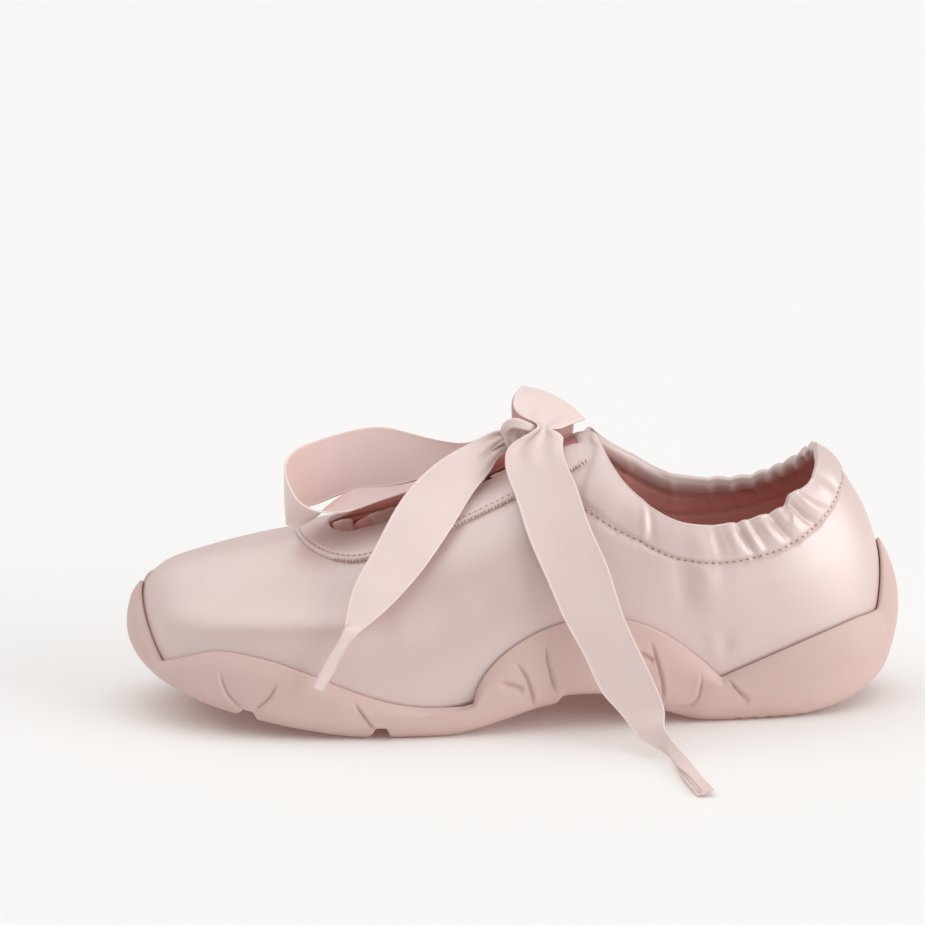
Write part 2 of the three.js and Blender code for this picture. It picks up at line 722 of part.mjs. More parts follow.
function knotSolid() {
  const ball = new THREE.SphereGeometry(1, 12, 8);
  ball.deleteAttribute("normal");
  ball.deleteAttribute("uv");
  ball.scale(KNOT.rx, KNOT.ry, KNOT.rz);
  ball.translate(KNOT.x, KNOT.y, KNOT.z);
  return toManifold(ball);
}

function laceSolid() {
  const levels = FLAT_LEVELS;
  const depth = WALL + 0.4;
  const sheet = wallBetween(-depth - RIBBON.lace, -depth, levels, false);
  let bars = null;
  LACE_BARS.forEach(([outerX, innerX, width]) => {
    const shape = new THREE.Shape();
    shape.moveTo(outerX + width / 2, LACE_REACH);
    shape.lineTo(outerX - width / 2, LACE_REACH);
    shape.lineTo(innerX - width / 2, -LACE_REACH - 2);
    shape.lineTo(innerX + width / 2, -LACE_REACH - 2);
    const slab = new THREE.ExtrudeGeometry(shape, { depth: 160, bevelEnabled: false });
    const bar = toManifold(slab).intersect(sheet);
    bars = bars ? bars.add(bar) : bar;
  });
  const stem = boxBlock(
    STEM.x - STEM.halfX, STEM.x + STEM.halfX, STEM.y - STEM.halfY, STEM.y + STEM.halfY,
    STEM.low, KNOT.z,
  );
  const underneath = wallBetween(-14, -depth - RIBBON.lace, levels, false);
  return bars.add(stem.subtract(underneath));
}

const levels = [0, 0.2, 0.4, 0.6, 0.8, 1, 1.03, 1.5, 2];
const slot = ovalPrism(SLOT, 30, 160, 0);
const upper = wallBetween(-WALL, 0, levels, true).subtract(slot);
const sole = soleSolid();
const insole = insoleSolid();
const eyestay = wallBetween(0.3, 0.3 + EYESTAY.rise, FLAT_LEVELS, false)
  .intersect(ovalPrism(EYESTAY, 30, 160, 0))
  .subtract(ovalPrism(SLOT, 20, 170, 0.5))
  .subtract(boxBlock(-200, EYESTAY.end, -90, 90, 0, 200));
const below = WALL + 0.4 + RIBBON.lace + 0.35;
const tongue = wallBetween(-below - TONGUE.thick, -below, FLAT_LEVELS, false)
  .intersect(ovalPrism(TONGUE, 30, 160, 0));
const knot = knotSolid();
const knotRoom = toManifold(new THREE.SphereGeometry(1, 12, 8)
  .deleteAttribute("normal").deleteAttribute("uv")
  .scale(KNOT.rx + GAP, KNOT.ry + GAP, KNOT.rz + GAP).translate(KNOT.x, KNOT.y, KNOT.z));
const lace = laceSolid().subtract(knotRoom);
const strip = (rows, pieces) => ribbon(rows, pieces).subtract(knotRoom);

const part = new THREE.Group();
part.name = "ballet_sneaker";

function add(name, solid, colour, roughness) {
  const material = new THREE.MeshStandardMaterial({ color: colour, roughness, metalness: 0 });
  const mesh = new THREE.Mesh(fromManifold(solid), material);
  mesh.name = name;
  part.add(mesh);
}

const SATIN = "#e3cdc8";
const RUBBER = "#d3b3a9";
const RIBBON_PINK = "#ecd5cf";
const LINING = "#c9a19a";
add("sole", sole, RUBBER, 0.7);
add("upper", upper, SATIN, 0.4);
add("insole", insole, LINING, 0.9);
add("eyestay", eyestay, SATIN, 0.4);
add("tongue", tongue, LINING, 0.6);
add("lace", lace, RIBBON_PINK, 0.4);
add("bow_knot", knot, RIBBON_PINK, 0.4);
add("bow_loop_front", strip(LOOP_FRONT, 22), RIBBON_PINK, 0.4);
add("bow_loop_back", strip(LOOP_BACK, 18), RIBBON_PINK, 0.4);
add("bow_tail_front", strip(TAIL_FRONT, 16), RIBBON_PINK, 0.4);
add("bow_tail_side", strip(TAIL_SIDE, 18), RIBBON_PINK, 0.4);

// The floor point under the middle of the shoe, bow left out, is the origin
const box = new THREE.Box3();
part.children.filter((mesh) => !mesh.name.startsWith("bow_")).forEach((mesh) => {
  box.expandByObject(mesh);
});
const centre = box.getCenter(new THREE.Vector3());
part.children.forEach((mesh) => mesh.geometry.translate(-centre.x, -centre.y, -box.min.z));

export default part;
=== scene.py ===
import math

import bmesh
import bpy
import numpy as np
from mathutils import Matrix, Vector
from mathutils.bvhtree import BVHTree


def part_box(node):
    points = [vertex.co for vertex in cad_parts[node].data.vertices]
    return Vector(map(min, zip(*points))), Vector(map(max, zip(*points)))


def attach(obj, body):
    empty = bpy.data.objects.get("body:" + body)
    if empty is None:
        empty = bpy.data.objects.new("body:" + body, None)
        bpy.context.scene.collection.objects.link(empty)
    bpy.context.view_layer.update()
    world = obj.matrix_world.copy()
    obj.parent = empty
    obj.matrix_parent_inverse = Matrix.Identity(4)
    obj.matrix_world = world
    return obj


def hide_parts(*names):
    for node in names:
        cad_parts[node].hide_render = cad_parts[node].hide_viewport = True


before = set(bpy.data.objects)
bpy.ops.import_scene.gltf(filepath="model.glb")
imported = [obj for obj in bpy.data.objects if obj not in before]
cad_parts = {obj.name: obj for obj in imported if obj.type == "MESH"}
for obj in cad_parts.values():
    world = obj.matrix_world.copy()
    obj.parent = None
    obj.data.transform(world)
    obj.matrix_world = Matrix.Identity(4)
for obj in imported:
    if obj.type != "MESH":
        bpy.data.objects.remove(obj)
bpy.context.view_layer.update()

bl_info = {
    "name": "Ballet sneaker",
    "version": (1, 0, 0),
    "blender": (4, 5, 0),
    "location": "View3D > Sidebar > Sneaker",
    "description": "Satin ballet sneaker with a gathered collar, "
                   "a wave-edged sole and a ribbon bow",
    "category": "Object",
}

# The shoe's own tables are in mm, +X to the toe, +Y to the outer side, +Z up.
# The upper's sections, heel back to toe tip, as shares of the sizes below.
LENGTH, BALL_WIDTH, INSTEP_HEIGHT, HEEL_HEIGHT = 268.0, 86.0, 95.0, 89.0
WALL, GAP = 1.9, 0.45
RIM_ROWS, APEX = 5, 6
COLUMNS = (
    "at", "outer", "inner", "foot_z", "top_at", "top_half", "top_z", "swing",
    "belly_out", "belly_up", "shoulder_out", "shoulder_drop",
)
SECTIONS = np.array([
    [0.028, 0.000, 0.000, 15.0, 0.101, 0.000, 1.000, 0.000, 0.110, 0.36, 0.233, 0.23],
    [0.063, 0.244, 0.244, 14.5, 0.116, 0.215, 0.910, 0.000, 0.080, 0.36, 0.140, 0.28],
    [0.146, 0.355, 0.349, 13.5, 0.172, 0.345, 0.815, 0.000, 0.055, 0.36, 0.080, 0.33],
    [0.257, 0.390, 0.355, 12.5, 0.254, 0.378, 0.772, 0.000, 0.045, 0.34, 0.065, 0.33],
    [0.358, 0.424, 0.349, 15.0, 0.326, 0.352, 0.838, 0.000, 0.040, 0.34, 0.090, 0.28],
    [0.448, 0.453, 0.360, 16.5, 0.384, 0.180, 0.950, 0.000, 0.032, 0.36, 0.215, 0.10],
    [0.530, 0.488, 0.395, 13.0, 0.405, 0.000, 1.000, 0.000, 0.028, 0.38, 0.310, 0.02],
    [0.619, 0.518, 0.447, 7.5, 0.500, 0.000, 0.884, -0.006, 0.028, 0.42, 0.305, 0.00],
    [0.705, 0.523, 0.477, 7.5, 0.604, 0.000, 0.760, -0.012, 0.028, 0.45, 0.300, 0.00],
    [0.791, 0.506, 0.471, 9.5, 0.709, 0.000, 0.684, -0.023, 0.028, 0.48, 0.290, 0.00],
    [0.873, 0.442, 0.405, 13.0, 0.806, 0.000, 0.638, -0.041, 0.026, 0.50, 0.250, 0.00],
    [0.933, 0.326, 0.279, 17.0, 0.888, 0.000, 0.588, -0.058, 0.022, 0.50, 0.175, 0.00],
    [0.966, 0.165, 0.145, 20.0, 0.938, 0.000, 0.545, -0.070, 0.020, 0.48, 0.090, 0.00],
    [0.976, 0.000, 0.000, 21.0, 0.958, 0.000, 0.505, -0.070, 0.022, 0.45, 0.050, 0.00],
])
LAST = len(SECTIONS) - 1
LOOP = 2 * LAST
# Slope of the vamp's ridge: least and most, sections before and after the apex where it sets in
RIDGE_SLOPE, RIDGE_BEFORE, RIDGE_AFTER = (-1.2, 0.2), 0.6, 0.2
UP = np.array([0.0, 0.0, 1.0])

# Throat ovals in plan: front and back circles
SLOT = {"front": (53.5, 1.8, 8.0), "back": (-4.0, 0.0, 7.2)}
EYESTAY = {"front": (50.3, 0.6, 23.3), "back": (-12.0, -0.5, 21.0)}
EYESTAY_END, EYESTAY_SEAT, EYESTAY_RISE = -22.5, 0.3, 1.2
TONGUE = {"front": (58.0, -1.6, 15.0), "back": (-4.0, 0.0, 17.0)}
# Tongue: thickness, gap under the lace, height of its swell and where that ends
TONGUE_THICK, TONGUE_GAP, TONGUE_SWELL, TONGUE_SWELL_END = 1.6, 0.35, 3.0, (50, 58)
# Lace: depth under the vamp, thickness of the solid, reach to both sides, bulge into the slot
LACE_DEPTH, LACE_THICK, LACE_OUT, LACE_IN, LACE_BULGE = WALL + 0.4, 0.7, 15.0, 17.0, 3.4
# Ribbon bars under the slot: outer x, inner x, width; then how far one lies over the next
LACE_BARS = ((57, 58.5, 7), (43, 38, 7), (39, 52, 7), (30, 11, 14), (10, 30, 14), (-1, 1, 13))
BAR_OVER, BAR_THICK, BAR_RIPPLE, BAR_CROWN = 0.12, 0.34, 0.10, 0.2
# Ends that rise to the knot: lower and upper middle, and how far the pair stands apart there
RISER_LOW, RISER_HIGH = ((-4, 1, 83.0), (0.9, 1.1, 0)), ((-4, 1.6, 91.5), (1.6, 0.8, 0))
RISER_THICK, RISER_HALF, RISER_BOW = 0.5, 2.3, 0.7
# What fills the slot swells up into it: middle and half width across, x where it starts
SWELL_Y, SWELL_HALF, SWELL_FROM = 0.5, 7.0, (6, 14)

# Bow: rows of both ribbon edges, x, y, z each, from the knot along the ribbon
KNOT = np.array([-4.0, 2.0, 97.5])
KNOT_CORE, KNOT_RADII = np.array([-2.5, 4.5, 94.5]), np.array([5.6, 4.6, 5.6])
KNOT_BAND = np.array([
    (1.8, 5.0, 96.0), (1.3, 7.6, 98.8), (-0.6, 9.5, 100.5), (-2.7, 10.5, 100.5), (-5.0, 11.0, 99.7),
    (-7.6, 10.5, 98.4), (-9.5, 8.5, 96.0), (-8.0, 3.0, 92.0), (-4.0, 0.0, 90.0), (1.5, 1.0, 92.0),
])
LOOP_FRONT = (
    (0.5, 1.0, 89.5, -0.5, 7.0, 95.5),
    (13.0, -2.0, 84.5, 15.5, 10.0, 86.0),
    (31.5, -4.0, 77.0, 34.0, 17.0, 79.5),
    (45.0, -4.0, 75.0, 48.0, 16.5, 75.0),
    (55.5, -2.0, 74.0, 58.0, 18.5, 72.5),
    (63.0, 2.0, 70.0, 65.0, 22.0, 73.5),
    (68.5, 8.0, 67.5, 69.5, 25.0, 75.5),
    (73.0, 12.0, 66.5, 74.0, 24.0, 78.5),
    (76.5, 13.0, 67.0, 77.0, 18.0, 83.5),
    (77.0, 9.0, 68.0, 77.5, 9.0, 87.0),
    (73.0, 2.5, 69.5, 74.5, 2.0, 90.0),
    (65.5, -3.0, 70.5, 66.2, -7.5, 91.6),
    (55.0, -6.0, 73.5, 55.4, -14.0, 93.1),
    (40.0, -7.0, 75.0, 41.2, -17.0, 93.6),
    (28.5, -6.0, 78.0, 31.3, -15.0, 91.4),
    (18.0, -4.0, 82.0, 22.1, -10.0, 90.2),
    (9.0, -1.0, 86.5, 12.9, -3.5, 91.1),
    (0.5, 2.0, 90.0, 2.5, 1.5, 96.0),
    (-4.0, 3.5, 91.5, -4.0, 3.5, 97.0),
)
TAIL_FRONT = (
    (1.5, 6.0, 89.5, 3.0, 5.0, 97.0),
    (6.5, 10.5, 85.0, 11.0, 8.5, 95.0),
    (12.0, 16.0, 80.0, 20.5, 13.5, 91.5),
    (18.0, 22.5, 73.0, 32.0, 19.5, 84.5),
    (25.5, 30.5, 64.0, 42.0, 27.0, 73.5),
    (33.5, 38.0, 55.5, 50.0, 34.5, 61.0),
    (42.0, 44.0, 48.0, 56.0, 41.0, 52.0),
    (50.5, 48.0, 41.5, 58.5, 46.0, 44.0),
    (56.5, 50.0, 37.0, 60.0, 49.5, 39.0),
    (62.0, 51.5, 28.5, 65.5, 51.5, 30.0),
    (67.5, 53.0, 19.0, 70.5, 53.0, 20.5),
)
LOOP_BACK = (
    (-3.0, -2.0, 93.0, -9.0, -2.0, 93.5),
    (-3.0, -11.0, 90.5, -14.0, -11.0, 90.5),
    (-1.5, -27.0, 82.0, -21.0, -27.0, 82.0),
    (-2.5, -37.5, 75.5, -24.5, -37.5, 75.0),
    (-4.0, -43.0, 80.5, -26.0, -43.0, 79.5),
    (-4.5, -38.5, 91.5, -26.5, -38.5, 88.0),
    (-4.0, -28.0, 101.0, -26.0, -28.5, 94.0),
    (-6.0, -15.0, 107.5, -27.5, -13.0, 96.0),
    (-2.5, -5.5, 106.5, -26.0, -7.0, 97.0),
    (-1.5, 3.0, 103.5, -20.5, 0.0, 97.0),
    (-5.5, 9.0, 101.0, -16.0, 6.5, 97.5),
)
# Bulge across the back loop's top: height, middle and half run across, z where it starts
LOOP_ARCH, LOOP_ARCH_Y, LOOP_ARCH_HALF, LOOP_ARCH_FROM = 2.9, -13.0, 16, (94, 99)
TAIL_SIDE = (
    (-8.5, 12.5, 99.0, -13.5, 11.5, 98.5),
    (-2.0, 14.0, 95.5, -16.5, 13.5, 97.0),
    (2.5, 16.5, 90.5, -17.0, 17.0, 94.0),
    (0.5, 24.0, 80.0, -20.0, 27.0, 84.0),
    (-3.5, 35.0, 67.0, -24.0, 38.5, 71.5),
    (-9.5, 44.5, 53.0, -29.5, 48.0, 58.5),
    (-15.0, 51.0, 40.5, -33.5, 55.0, 45.0),
    (-21.0, 56.5, 29.5, -38.0, 61.0, 34.5),
    (-26.5, 61.5, 18.5, -43.5, 66.5, 22.5),
    (-32.5, 66.0, 12.0, -46.0, 71.0, 14.5),
    (-38.0, 72.0, 6.0, -45.5, 75.0, 10.5),
    (-43.9, 77.0, 3.2, -47.9, 78.2, 6.9),
    (-47.9, 92.0, 1.8, -52.4, 91.5, 2.2),
    (-51.0, 118.6, 1.5, -56.4, 117.6, 1.5),
)

# The CAD's origin lies under the middle of the shoe; the knot tells how far the tables are from it.
SHIFT = np.array((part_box("bow_knot")[0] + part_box("bow_knot")[1]) / 2) * 1000 - KNOT
SHIFT[2] = 0.0

# Photograph's camera: yaw off the shoe's side, height angle and distance in m
CAMERA_YAW, CAMERA_RISE, CAMERA_FAR = math.radians(5), math.radians(15), 1.5
# Frame size and scale in pixels, and the pixel where the aim point lies
PIXELS, PIXELS_PER_MM, AIM_PIXEL = 925, 2.88, (508.6, 587.0)
AIM = np.array([0.0, 0.0, 40.0])
# Part of the surround that is dimmer: ahead of the toe on the camera's side
DIM_SIDE, DIM_SHARE, DIM_SPAN = (0.75, 0.66, 0.0), 0.38, (-0.1, 0.9)
# Broad lights: name, strength setting, spread in degrees, direction of the light
LIGHTS = (
    ("heel_light", "key", 60, (0.88, -0.46, -0.13)),
    ("overhead", "overhead", 80, (-0.25, -0.02, -1.0)),
    ("toe_light", "fill", 70, (-0.94, 0.0, -0.35)),
)
LIGHT_TONE = (1, 0.99, 0.985)
# Floor: half its side and its level just under the sole, in m
FLOOR_HALF, FLOOR_LEVEL = 9.0, -0.0002


# Small helpers

def smooth(x, a, b):
    t = np.clip((np.asarray(x, float) - a) / (b - a), 0, 1)
    return t * t * (3 - 2 * t)


def bell(x):
    return np.where(np.abs(x) < 1, (1 + np.cos(np.pi * np.clip(x, -1, 1))) / 2, 0)


def unit(v):
    return v / np.maximum(np.linalg.norm(v, axis=-1, keepdims=True), 1e-9)


def to_frame(points):
    return (np.asarray(points, float) + SHIFT) / 1000


def run_along(points):
    """Length along a line of points, from its start."""
    return np.concatenate([[0], np.cumsum(np.linalg.norm(np.diff(points, axis=0), axis=1))])


def depth_below(skin):
    """Length down each column of a skin, from its upper edge."""
    steps = np.linalg.norm(np.diff(skin, axis=1), axis=2)
    falling = np.cumsum(steps[:, ::-1], 1)[:, ::-1]
    return np.concatenate([falling, np.zeros((len(skin), 1))], 1)


def cubic(points, at, knots=None):
    """Natural cubic spline through rows of points, at the given shares of its length."""
    points = np.asarray(points, float)
    if knots is None:
        knots = run_along(points[:, :3])
        knots = knots / knots[-1]
    h = np.diff(knots)
    n = len(points)
    system, side = np.eye(n), np.zeros_like(points)
    for i in range(1, n - 1):
        system[i, i - 1:i + 2] = h[i - 1], 2 * (h[i - 1] + h[i]), h[i]
        side[i] = 6 * ((points[i + 1] - points[i]) / h[i] - (points[i] - points[i - 1]) / h[i - 1])
    bend = np.linalg.solve(system, side)
    at = np.clip(np.asarray(at, float), 0, 1)
    i = np.clip(np.searchsorted(knots, at, side="right") - 1, 0, n - 2)
    a = ((knots[i + 1] - at) / h[i])[:, None]
    b = 1 - a
    lift = ((a**3 - a) * bend[i] + (b**3 - b) * bend[i + 1]) * (h[i, None] ** 2) / 6
    return a * points[i] + b * points[i + 1] + lift


# The upper's surface

def loop_curve(values):
    """Closed smooth curve, one value per section round the shoe."""
    count = len(values)
    ring = np.eye(count)
    system = 4 * ring + np.roll(ring, 1, 0) + np.roll(ring, -1, 0)
    slopes = np.linalg.solve(system, 3 * (np.roll(values, -1) - np.roll(values, 1)))

    def curve(u):
        u = np.mod(u, count)
        a = np.floor(u).astype(int) % count
        b = (a + 1) % count
        f = u - np.floor(u)
        g = 1 - f
        ends = values[a] * (1 + 2 * f) * g * g + values[b] * f * f * (3 - 2 * f)
        return ends + slopes[a] * f * g * g - slopes[b] * f * f * g

    return curve


def round_the_shoe(outer, inner=None):
    inner = outer if inner is None else inner
    return loop_curve(np.concatenate([outer, inner[1:-1][::-1]]))


def section_curves():
    c = {name: SECTIONS[:, k] for k, name in enumerate(COLUMNS)}
    high = np.where(np.arange(LAST + 1) < RIM_ROWS, HEEL_HEIGHT, INSTEP_HEIGHT)
    top = c["top_z"] * high
    rise = top - c["foot_z"]
    wide = BALL_WIDTH
    return {
        "foot_x": round_the_shoe((c["at"] - 0.5) * LENGTH),
        "foot_y": round_the_shoe(wide * (c["swing"] + c["outer"]),
                                 wide * (c["swing"] - c["inner"])),
        "foot_z": round_the_shoe(c["foot_z"]),
        "top_x": round_the_shoe((c["top_at"] - 0.5) * LENGTH),
        "top_half": round_the_shoe(wide * c["top_half"], -wide * c["top_half"]),
        "top_z": round_the_shoe(top),
        "swing": round_the_shoe(wide * c["swing"]),
        "belly_out": round_the_shoe(wide * c["belly_out"]),
        "belly_up": round_the_shoe(c["belly_up"] * rise),
        "shoulder_out": round_the_shoe(wide * c["shoulder_out"]),
        "shoulder_drop": round_the_shoe(c["shoulder_drop"] * rise),
    }


CURVES = section_curves()


def wrap_loop(u):
    return np.mod(u, LOOP)


def from_heel(u):
    w = wrap_loop(u)
    return np.minimum(w, LOOP - w)


def side_of(u):
    return np.where(wrap_loop(u) <= LAST, 1.0, -1.0)


def is_vamp(u):
    return from_heel(u) >= APEX - 1e-6


def foot_at(u):
    return np.stack([CURVES["foot_x"](u), CURVES["foot_y"](u), CURVES["foot_z"](u)], -1)


def outward_at(u):
    ahead = foot_at(u + 0.01) - foot_at(u - 0.01)
    return unit(np.stack([-ahead[..., 1], ahead[..., 0], 0 * ahead[..., 0]], -1))


def top_at(u):
    side = side_of(u)
    half = side * np.maximum(0, side * CURVES["top_half"](u))
    half = np.where(is_vamp(u), 0, half)
    return np.stack([CURVES["top_x"](u), CURVES["swing"](u) + half, CURVES["top_z"](u)], -1)


def handles(u):
    foot, top, out = foot_at(u), top_at(u), outward_at(u)
    belly = foot + out * CURVES["belly_out"](u)[..., None] + UP * CURVES["belly_up"](u)[..., None]
    ahead = top_at(u + 0.02) - top_at(u - 0.02)
    flat = np.abs(ahead[..., 0]) < 1e-6
    slope = np.where(flat, 0, ahead[..., 2] / np.where(flat, 1, ahead[..., 0]))
    starts = smooth(from_heel(u), APEX - RIDGE_BEFORE, APEX + RIDGE_AFTER)
    slope = np.clip(slope, *RIDGE_SLOPE) * starts
    reach = CURVES["shoulder_out"](u)
    drop = slope * out[..., 0] * reach - CURVES["shoulder_drop"](u)
    return foot, belly, top + out * reach[..., None] + UP * drop[..., None], top


def surface(u, t):
    u, t = np.broadcast_arrays(np.asarray(u, float), np.asarray(t, float))
    a, b, c, d = handles(u)
    t = t[..., None]
    s = 1 - t
    return a * s**3 + 3 * b * s * s * t + 3 * c * s * t * t + d * t**3


def side_normal(u, t):
    up = surface(u, np.minimum(1, t + 0.01)) - surface(u, np.maximum(0, t - 0.01))
    along = surface(u + 0.01, t) - surface(u - 0.01, t)
    return unit(np.cross(up, along))


def normal(u, t):
    u, t = np.broadcast_arrays(np.asarray(u, float), np.asarray(t, float))
    n = side_normal(u, t)
    ridge = (t > 1 - 1e-6) & is_vamp(u)
    both = unit(n + side_normal(LOOP - wrap_loop(u), t))
    return np.where(ridge[..., None], both, n)


def offset(u, t, d):
    return surface(u, t) + normal(u, t) * np.asarray(d, float)[..., None]


# Meshes

def numbered(grid):
    """Vertex numbers of a grid of points."""
    return np.arange(grid.shape[0] * grid.shape[1]).reshape(grid.shape[:2])


def weave_at(across, along):
    """Weave coordinates over a grid."""
    return np.stack(np.broadcast_arrays(across, along), -1)


def grid_quads(index, close_rows=False, close_columns=False):
    """Quads over a 2-D array of vertex numbers."""
    if close_rows:
        index = np.concatenate([index, index[:1]], 0)
    if close_columns:
        index = np.concatenate([index, index[:, :1]], 1)
    quads = np.stack([index[:-1, :-1], index[:-1, 1:], index[1:, 1:], index[1:, :-1]], -1)
    return quads.reshape(-1, 4)


def ring_faces(grid):
    """Faces of a grid whose last row joins its first."""
    return tidy_faces(grid_quads(numbered(grid), close_rows=True))


def tidy_faces(faces, kinds=None):
    """Faces as lists, without repeated corners and without those left under three corners."""
    kept, kept_kinds = [], []
    for at, face in enumerate(np.asarray(faces).tolist()):
        corners = [c for k, c in enumerate(face) if c != face[k - 1]]
        if len(set(corners)) >= 3 and len(set(corners)) == len(corners):
            kept.append(corners)
            if kinds is not None:
                kept_kinds.append(int(kinds[at]))
    return kept if kinds is None else (kept, kept_kinds)


def new_piece(name, points, faces, materials, uv=None, face_material=None):
    """Mesh piece from points in mm, riding on the shoe."""
    points = np.asarray(points, float).reshape(-1, 3)
    used = np.unique(np.concatenate([np.asarray(f) for f in faces])) if len(faces) else []
    again = np.full(len(points), -1)
    again[used] = np.arange(len(used))
    mesh = bpy.data.meshes.new(name)
    corners = [[int(again[c]) for c in face] for face in faces]
    mesh.from_pydata(to_frame(points[used]).tolist(), [], corners)
    for material in materials:
        mesh.materials.append(material)
    mesh.polygons.foreach_set("use_smooth", np.ones(len(mesh.polygons), bool))
    if face_material is not None:
        mesh.polygons.foreach_set("material_index", np.asarray(face_material, np.int32))
    if uv is not None:
        corner = np.zeros(len(mesh.loops), np.int32)
        mesh.loops.foreach_get("vertex_index", corner)
        layer = mesh.uv_layers.new(name="weave")
        flat = np.asarray(uv, float).reshape(-1, 2)[used][corner]
        layer.data.foreach_set("uv", flat.ravel().astype(np.float32))
    mesh.validate()
    mesh.update()
    piece = bpy.data.objects.new(name, mesh)
    bpy.context.scene.collection.objects.link(piece)
    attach(piece, "root")
    return piece


def weld(piece, distance=2e-6):
    work = bmesh.new()
    work.from_mesh(piece.data)
    bmesh.ops.remove_doubles(work, verts=work.verts, dist=distance)
    bmesh.ops.recalc_face_normals(work, faces=work.faces)
    work.to_mesh(piece.data)
    work.free()
    piece.data.update()


def grid_normals(grid, close_columns=False):
    along = np.gradient(grid, axis=0)
    if close_columns:
        across = (np.roll(grid, -1, 1) - np.roll(grid, 1, 1)) / 2
    else:
        across = np.gradient(grid, axis=1)
    return unit(np.cross(along, across))


def sheet_mesh(grid, thick):
    """Closed thin solid round a grid of middle points: vertices and faces."""
    rows, columns = grid.shape[:2]
    n = grid_normals(grid) * (np.broadcast_to(thick, (rows, columns))[..., None] / 2)
    count = rows * columns
    front = numbered(grid)
    rear = front + count
    ring_front = np.concatenate([front[0, :-1], front[:-1, -1], front[-1, :0:-1], front[:0:-1, 0]])
    ring_rear = ring_front + count
    edge = np.stack([ring_front, ring_rear, np.roll(ring_rear, -1), np.roll(ring_front, -1)], -1)
    faces = np.concatenate([grid_quads(front), grid_quads(rear)[:, ::-1], edge])
    points = np.concatenate([(grid + n).reshape(-1, 3), (grid - n).reshape(-1, 3)])
    return points, faces


def stitch_mesh(centres, along, out, length, width, height):
    """Small rounded thread bars, one per row."""
    ring, turns = 5, 8
    lat = np.linspace(-np.pi / 2, np.pi / 2, ring + 2)[1:-1]
    lon = np.linspace(0, 2 * np.pi, turns, endpoint=False)
    round_ = np.stack([
        np.repeat(np.sin(lat), turns),
        (np.cos(lat)[:, None] * np.cos(lon)).ravel(),
        (np.cos(lat)[:, None] * np.sin(lon)).ravel(),
    ], -1)
    shape = np.concatenate([round_, [[-1, 0, 0], [1, 0, 0]]]) * [length / 2, width / 2, height / 2]
    quads = grid_quads(np.arange(ring * turns).reshape(ring, turns), close_columns=True)
    tip, top = ring * turns, (ring - 1) * turns
    first = [[(k + 1) % turns, k, tip] for k in range(turns)]
    last = [[top + k, top + (k + 1) % turns, tip + 1] for k in range(turns)]
    across = unit(np.cross(out, along))
    points, faces = [], []
    for k, centre in enumerate(centres):
        base = k * len(shape)
        points.append(centre + shape @ np.stack([along[k], across[k], out[k]]))
        faces += (quads + base).tolist()
        faces += [[c + base for c in f] for f in first + last]
    return np.concatenate(points), faces


# Materials

# Noise: the same in all directions, and the ranges of its value that carry the tone
EVEN, CLOUD_SPAN, WIDE_SPAN = (1, 1, 1), (0.35, 0.7), (0.3, 0.7)


def shader(name, colour, roughness):
    material = bpy.data.materials.new(name)
    material.use_nodes = True
    tree = material.node_tree
    plain = tree.nodes["Principled BSDF"]
    plain.inputs["Base Color"].default_value = (*colour, 1)
    plain.inputs["Roughness"].default_value = roughness
    return material, tree, plain


def set_sockets(made, values):
    for key, value in values.items():
        made.inputs[key].default_value = value


def node(tree, kind, **values):
    made = tree.nodes.new(kind)
    for key, value in values.items():
        if key in made.inputs:
            made.inputs[key].default_value = value
        else:
            setattr(made, key, value)
    return made


def stretched_noise(tree, scale, size, detail=2, coordinate="Object"):
    where = node(tree, "ShaderNodeTexCoord")
    stretch = node(tree, "ShaderNodeMapping")
    stretch.inputs["Scale"].default_value = scale
    noise = node(tree, "ShaderNodeTexNoise", Scale=size, Detail=detail, Roughness=0.55)
    tree.links.new(where.outputs[coordinate], stretch.inputs["Vector"])
    tree.links.new(stretch.outputs["Vector"], noise.inputs["Vector"])
    return noise.outputs["Fac"]


def span(tree, value, low, high, a=0.0, b=1.0):
    ranged = node(tree, "ShaderNodeMapRange")
    set_sockets(ranged, {"From Min": a, "From Max": b, "To Min": low, "To Max": high})
    tree.links.new(value, ranged.inputs["Value"])
    return ranged.outputs["Result"]


def blend_colours(tree, factor, first, second):
    mix = node(tree, "ShaderNodeMix", data_type="RGBA")
    for socket, colour in ((mix.inputs[6], first), (mix.inputs[7], second)):
        if isinstance(colour, bpy.types.NodeSocket):
            tree.links.new(colour, socket)
        else:
            socket.default_value = (*colour, 1)
    tree.links.new(factor, mix.inputs[0])
    return mix.outputs[2]


def bump(tree, plain, heights):
    """Chain of bumps: height socket, strength, distance in metres."""
    last = None
    for height, strength, distance in heights:
        made = node(tree, "ShaderNodeBump", Strength=strength, Distance=distance)
        tree.links.new(height, made.inputs["Height"])
        if last is not None:
            tree.links.new(last, made.inputs["Normal"])
        last = made.outputs["Normal"]
    tree.links.new(last, plain.inputs["Normal"])


def shade(colour, share):
    return tuple(c * share for c in colour)


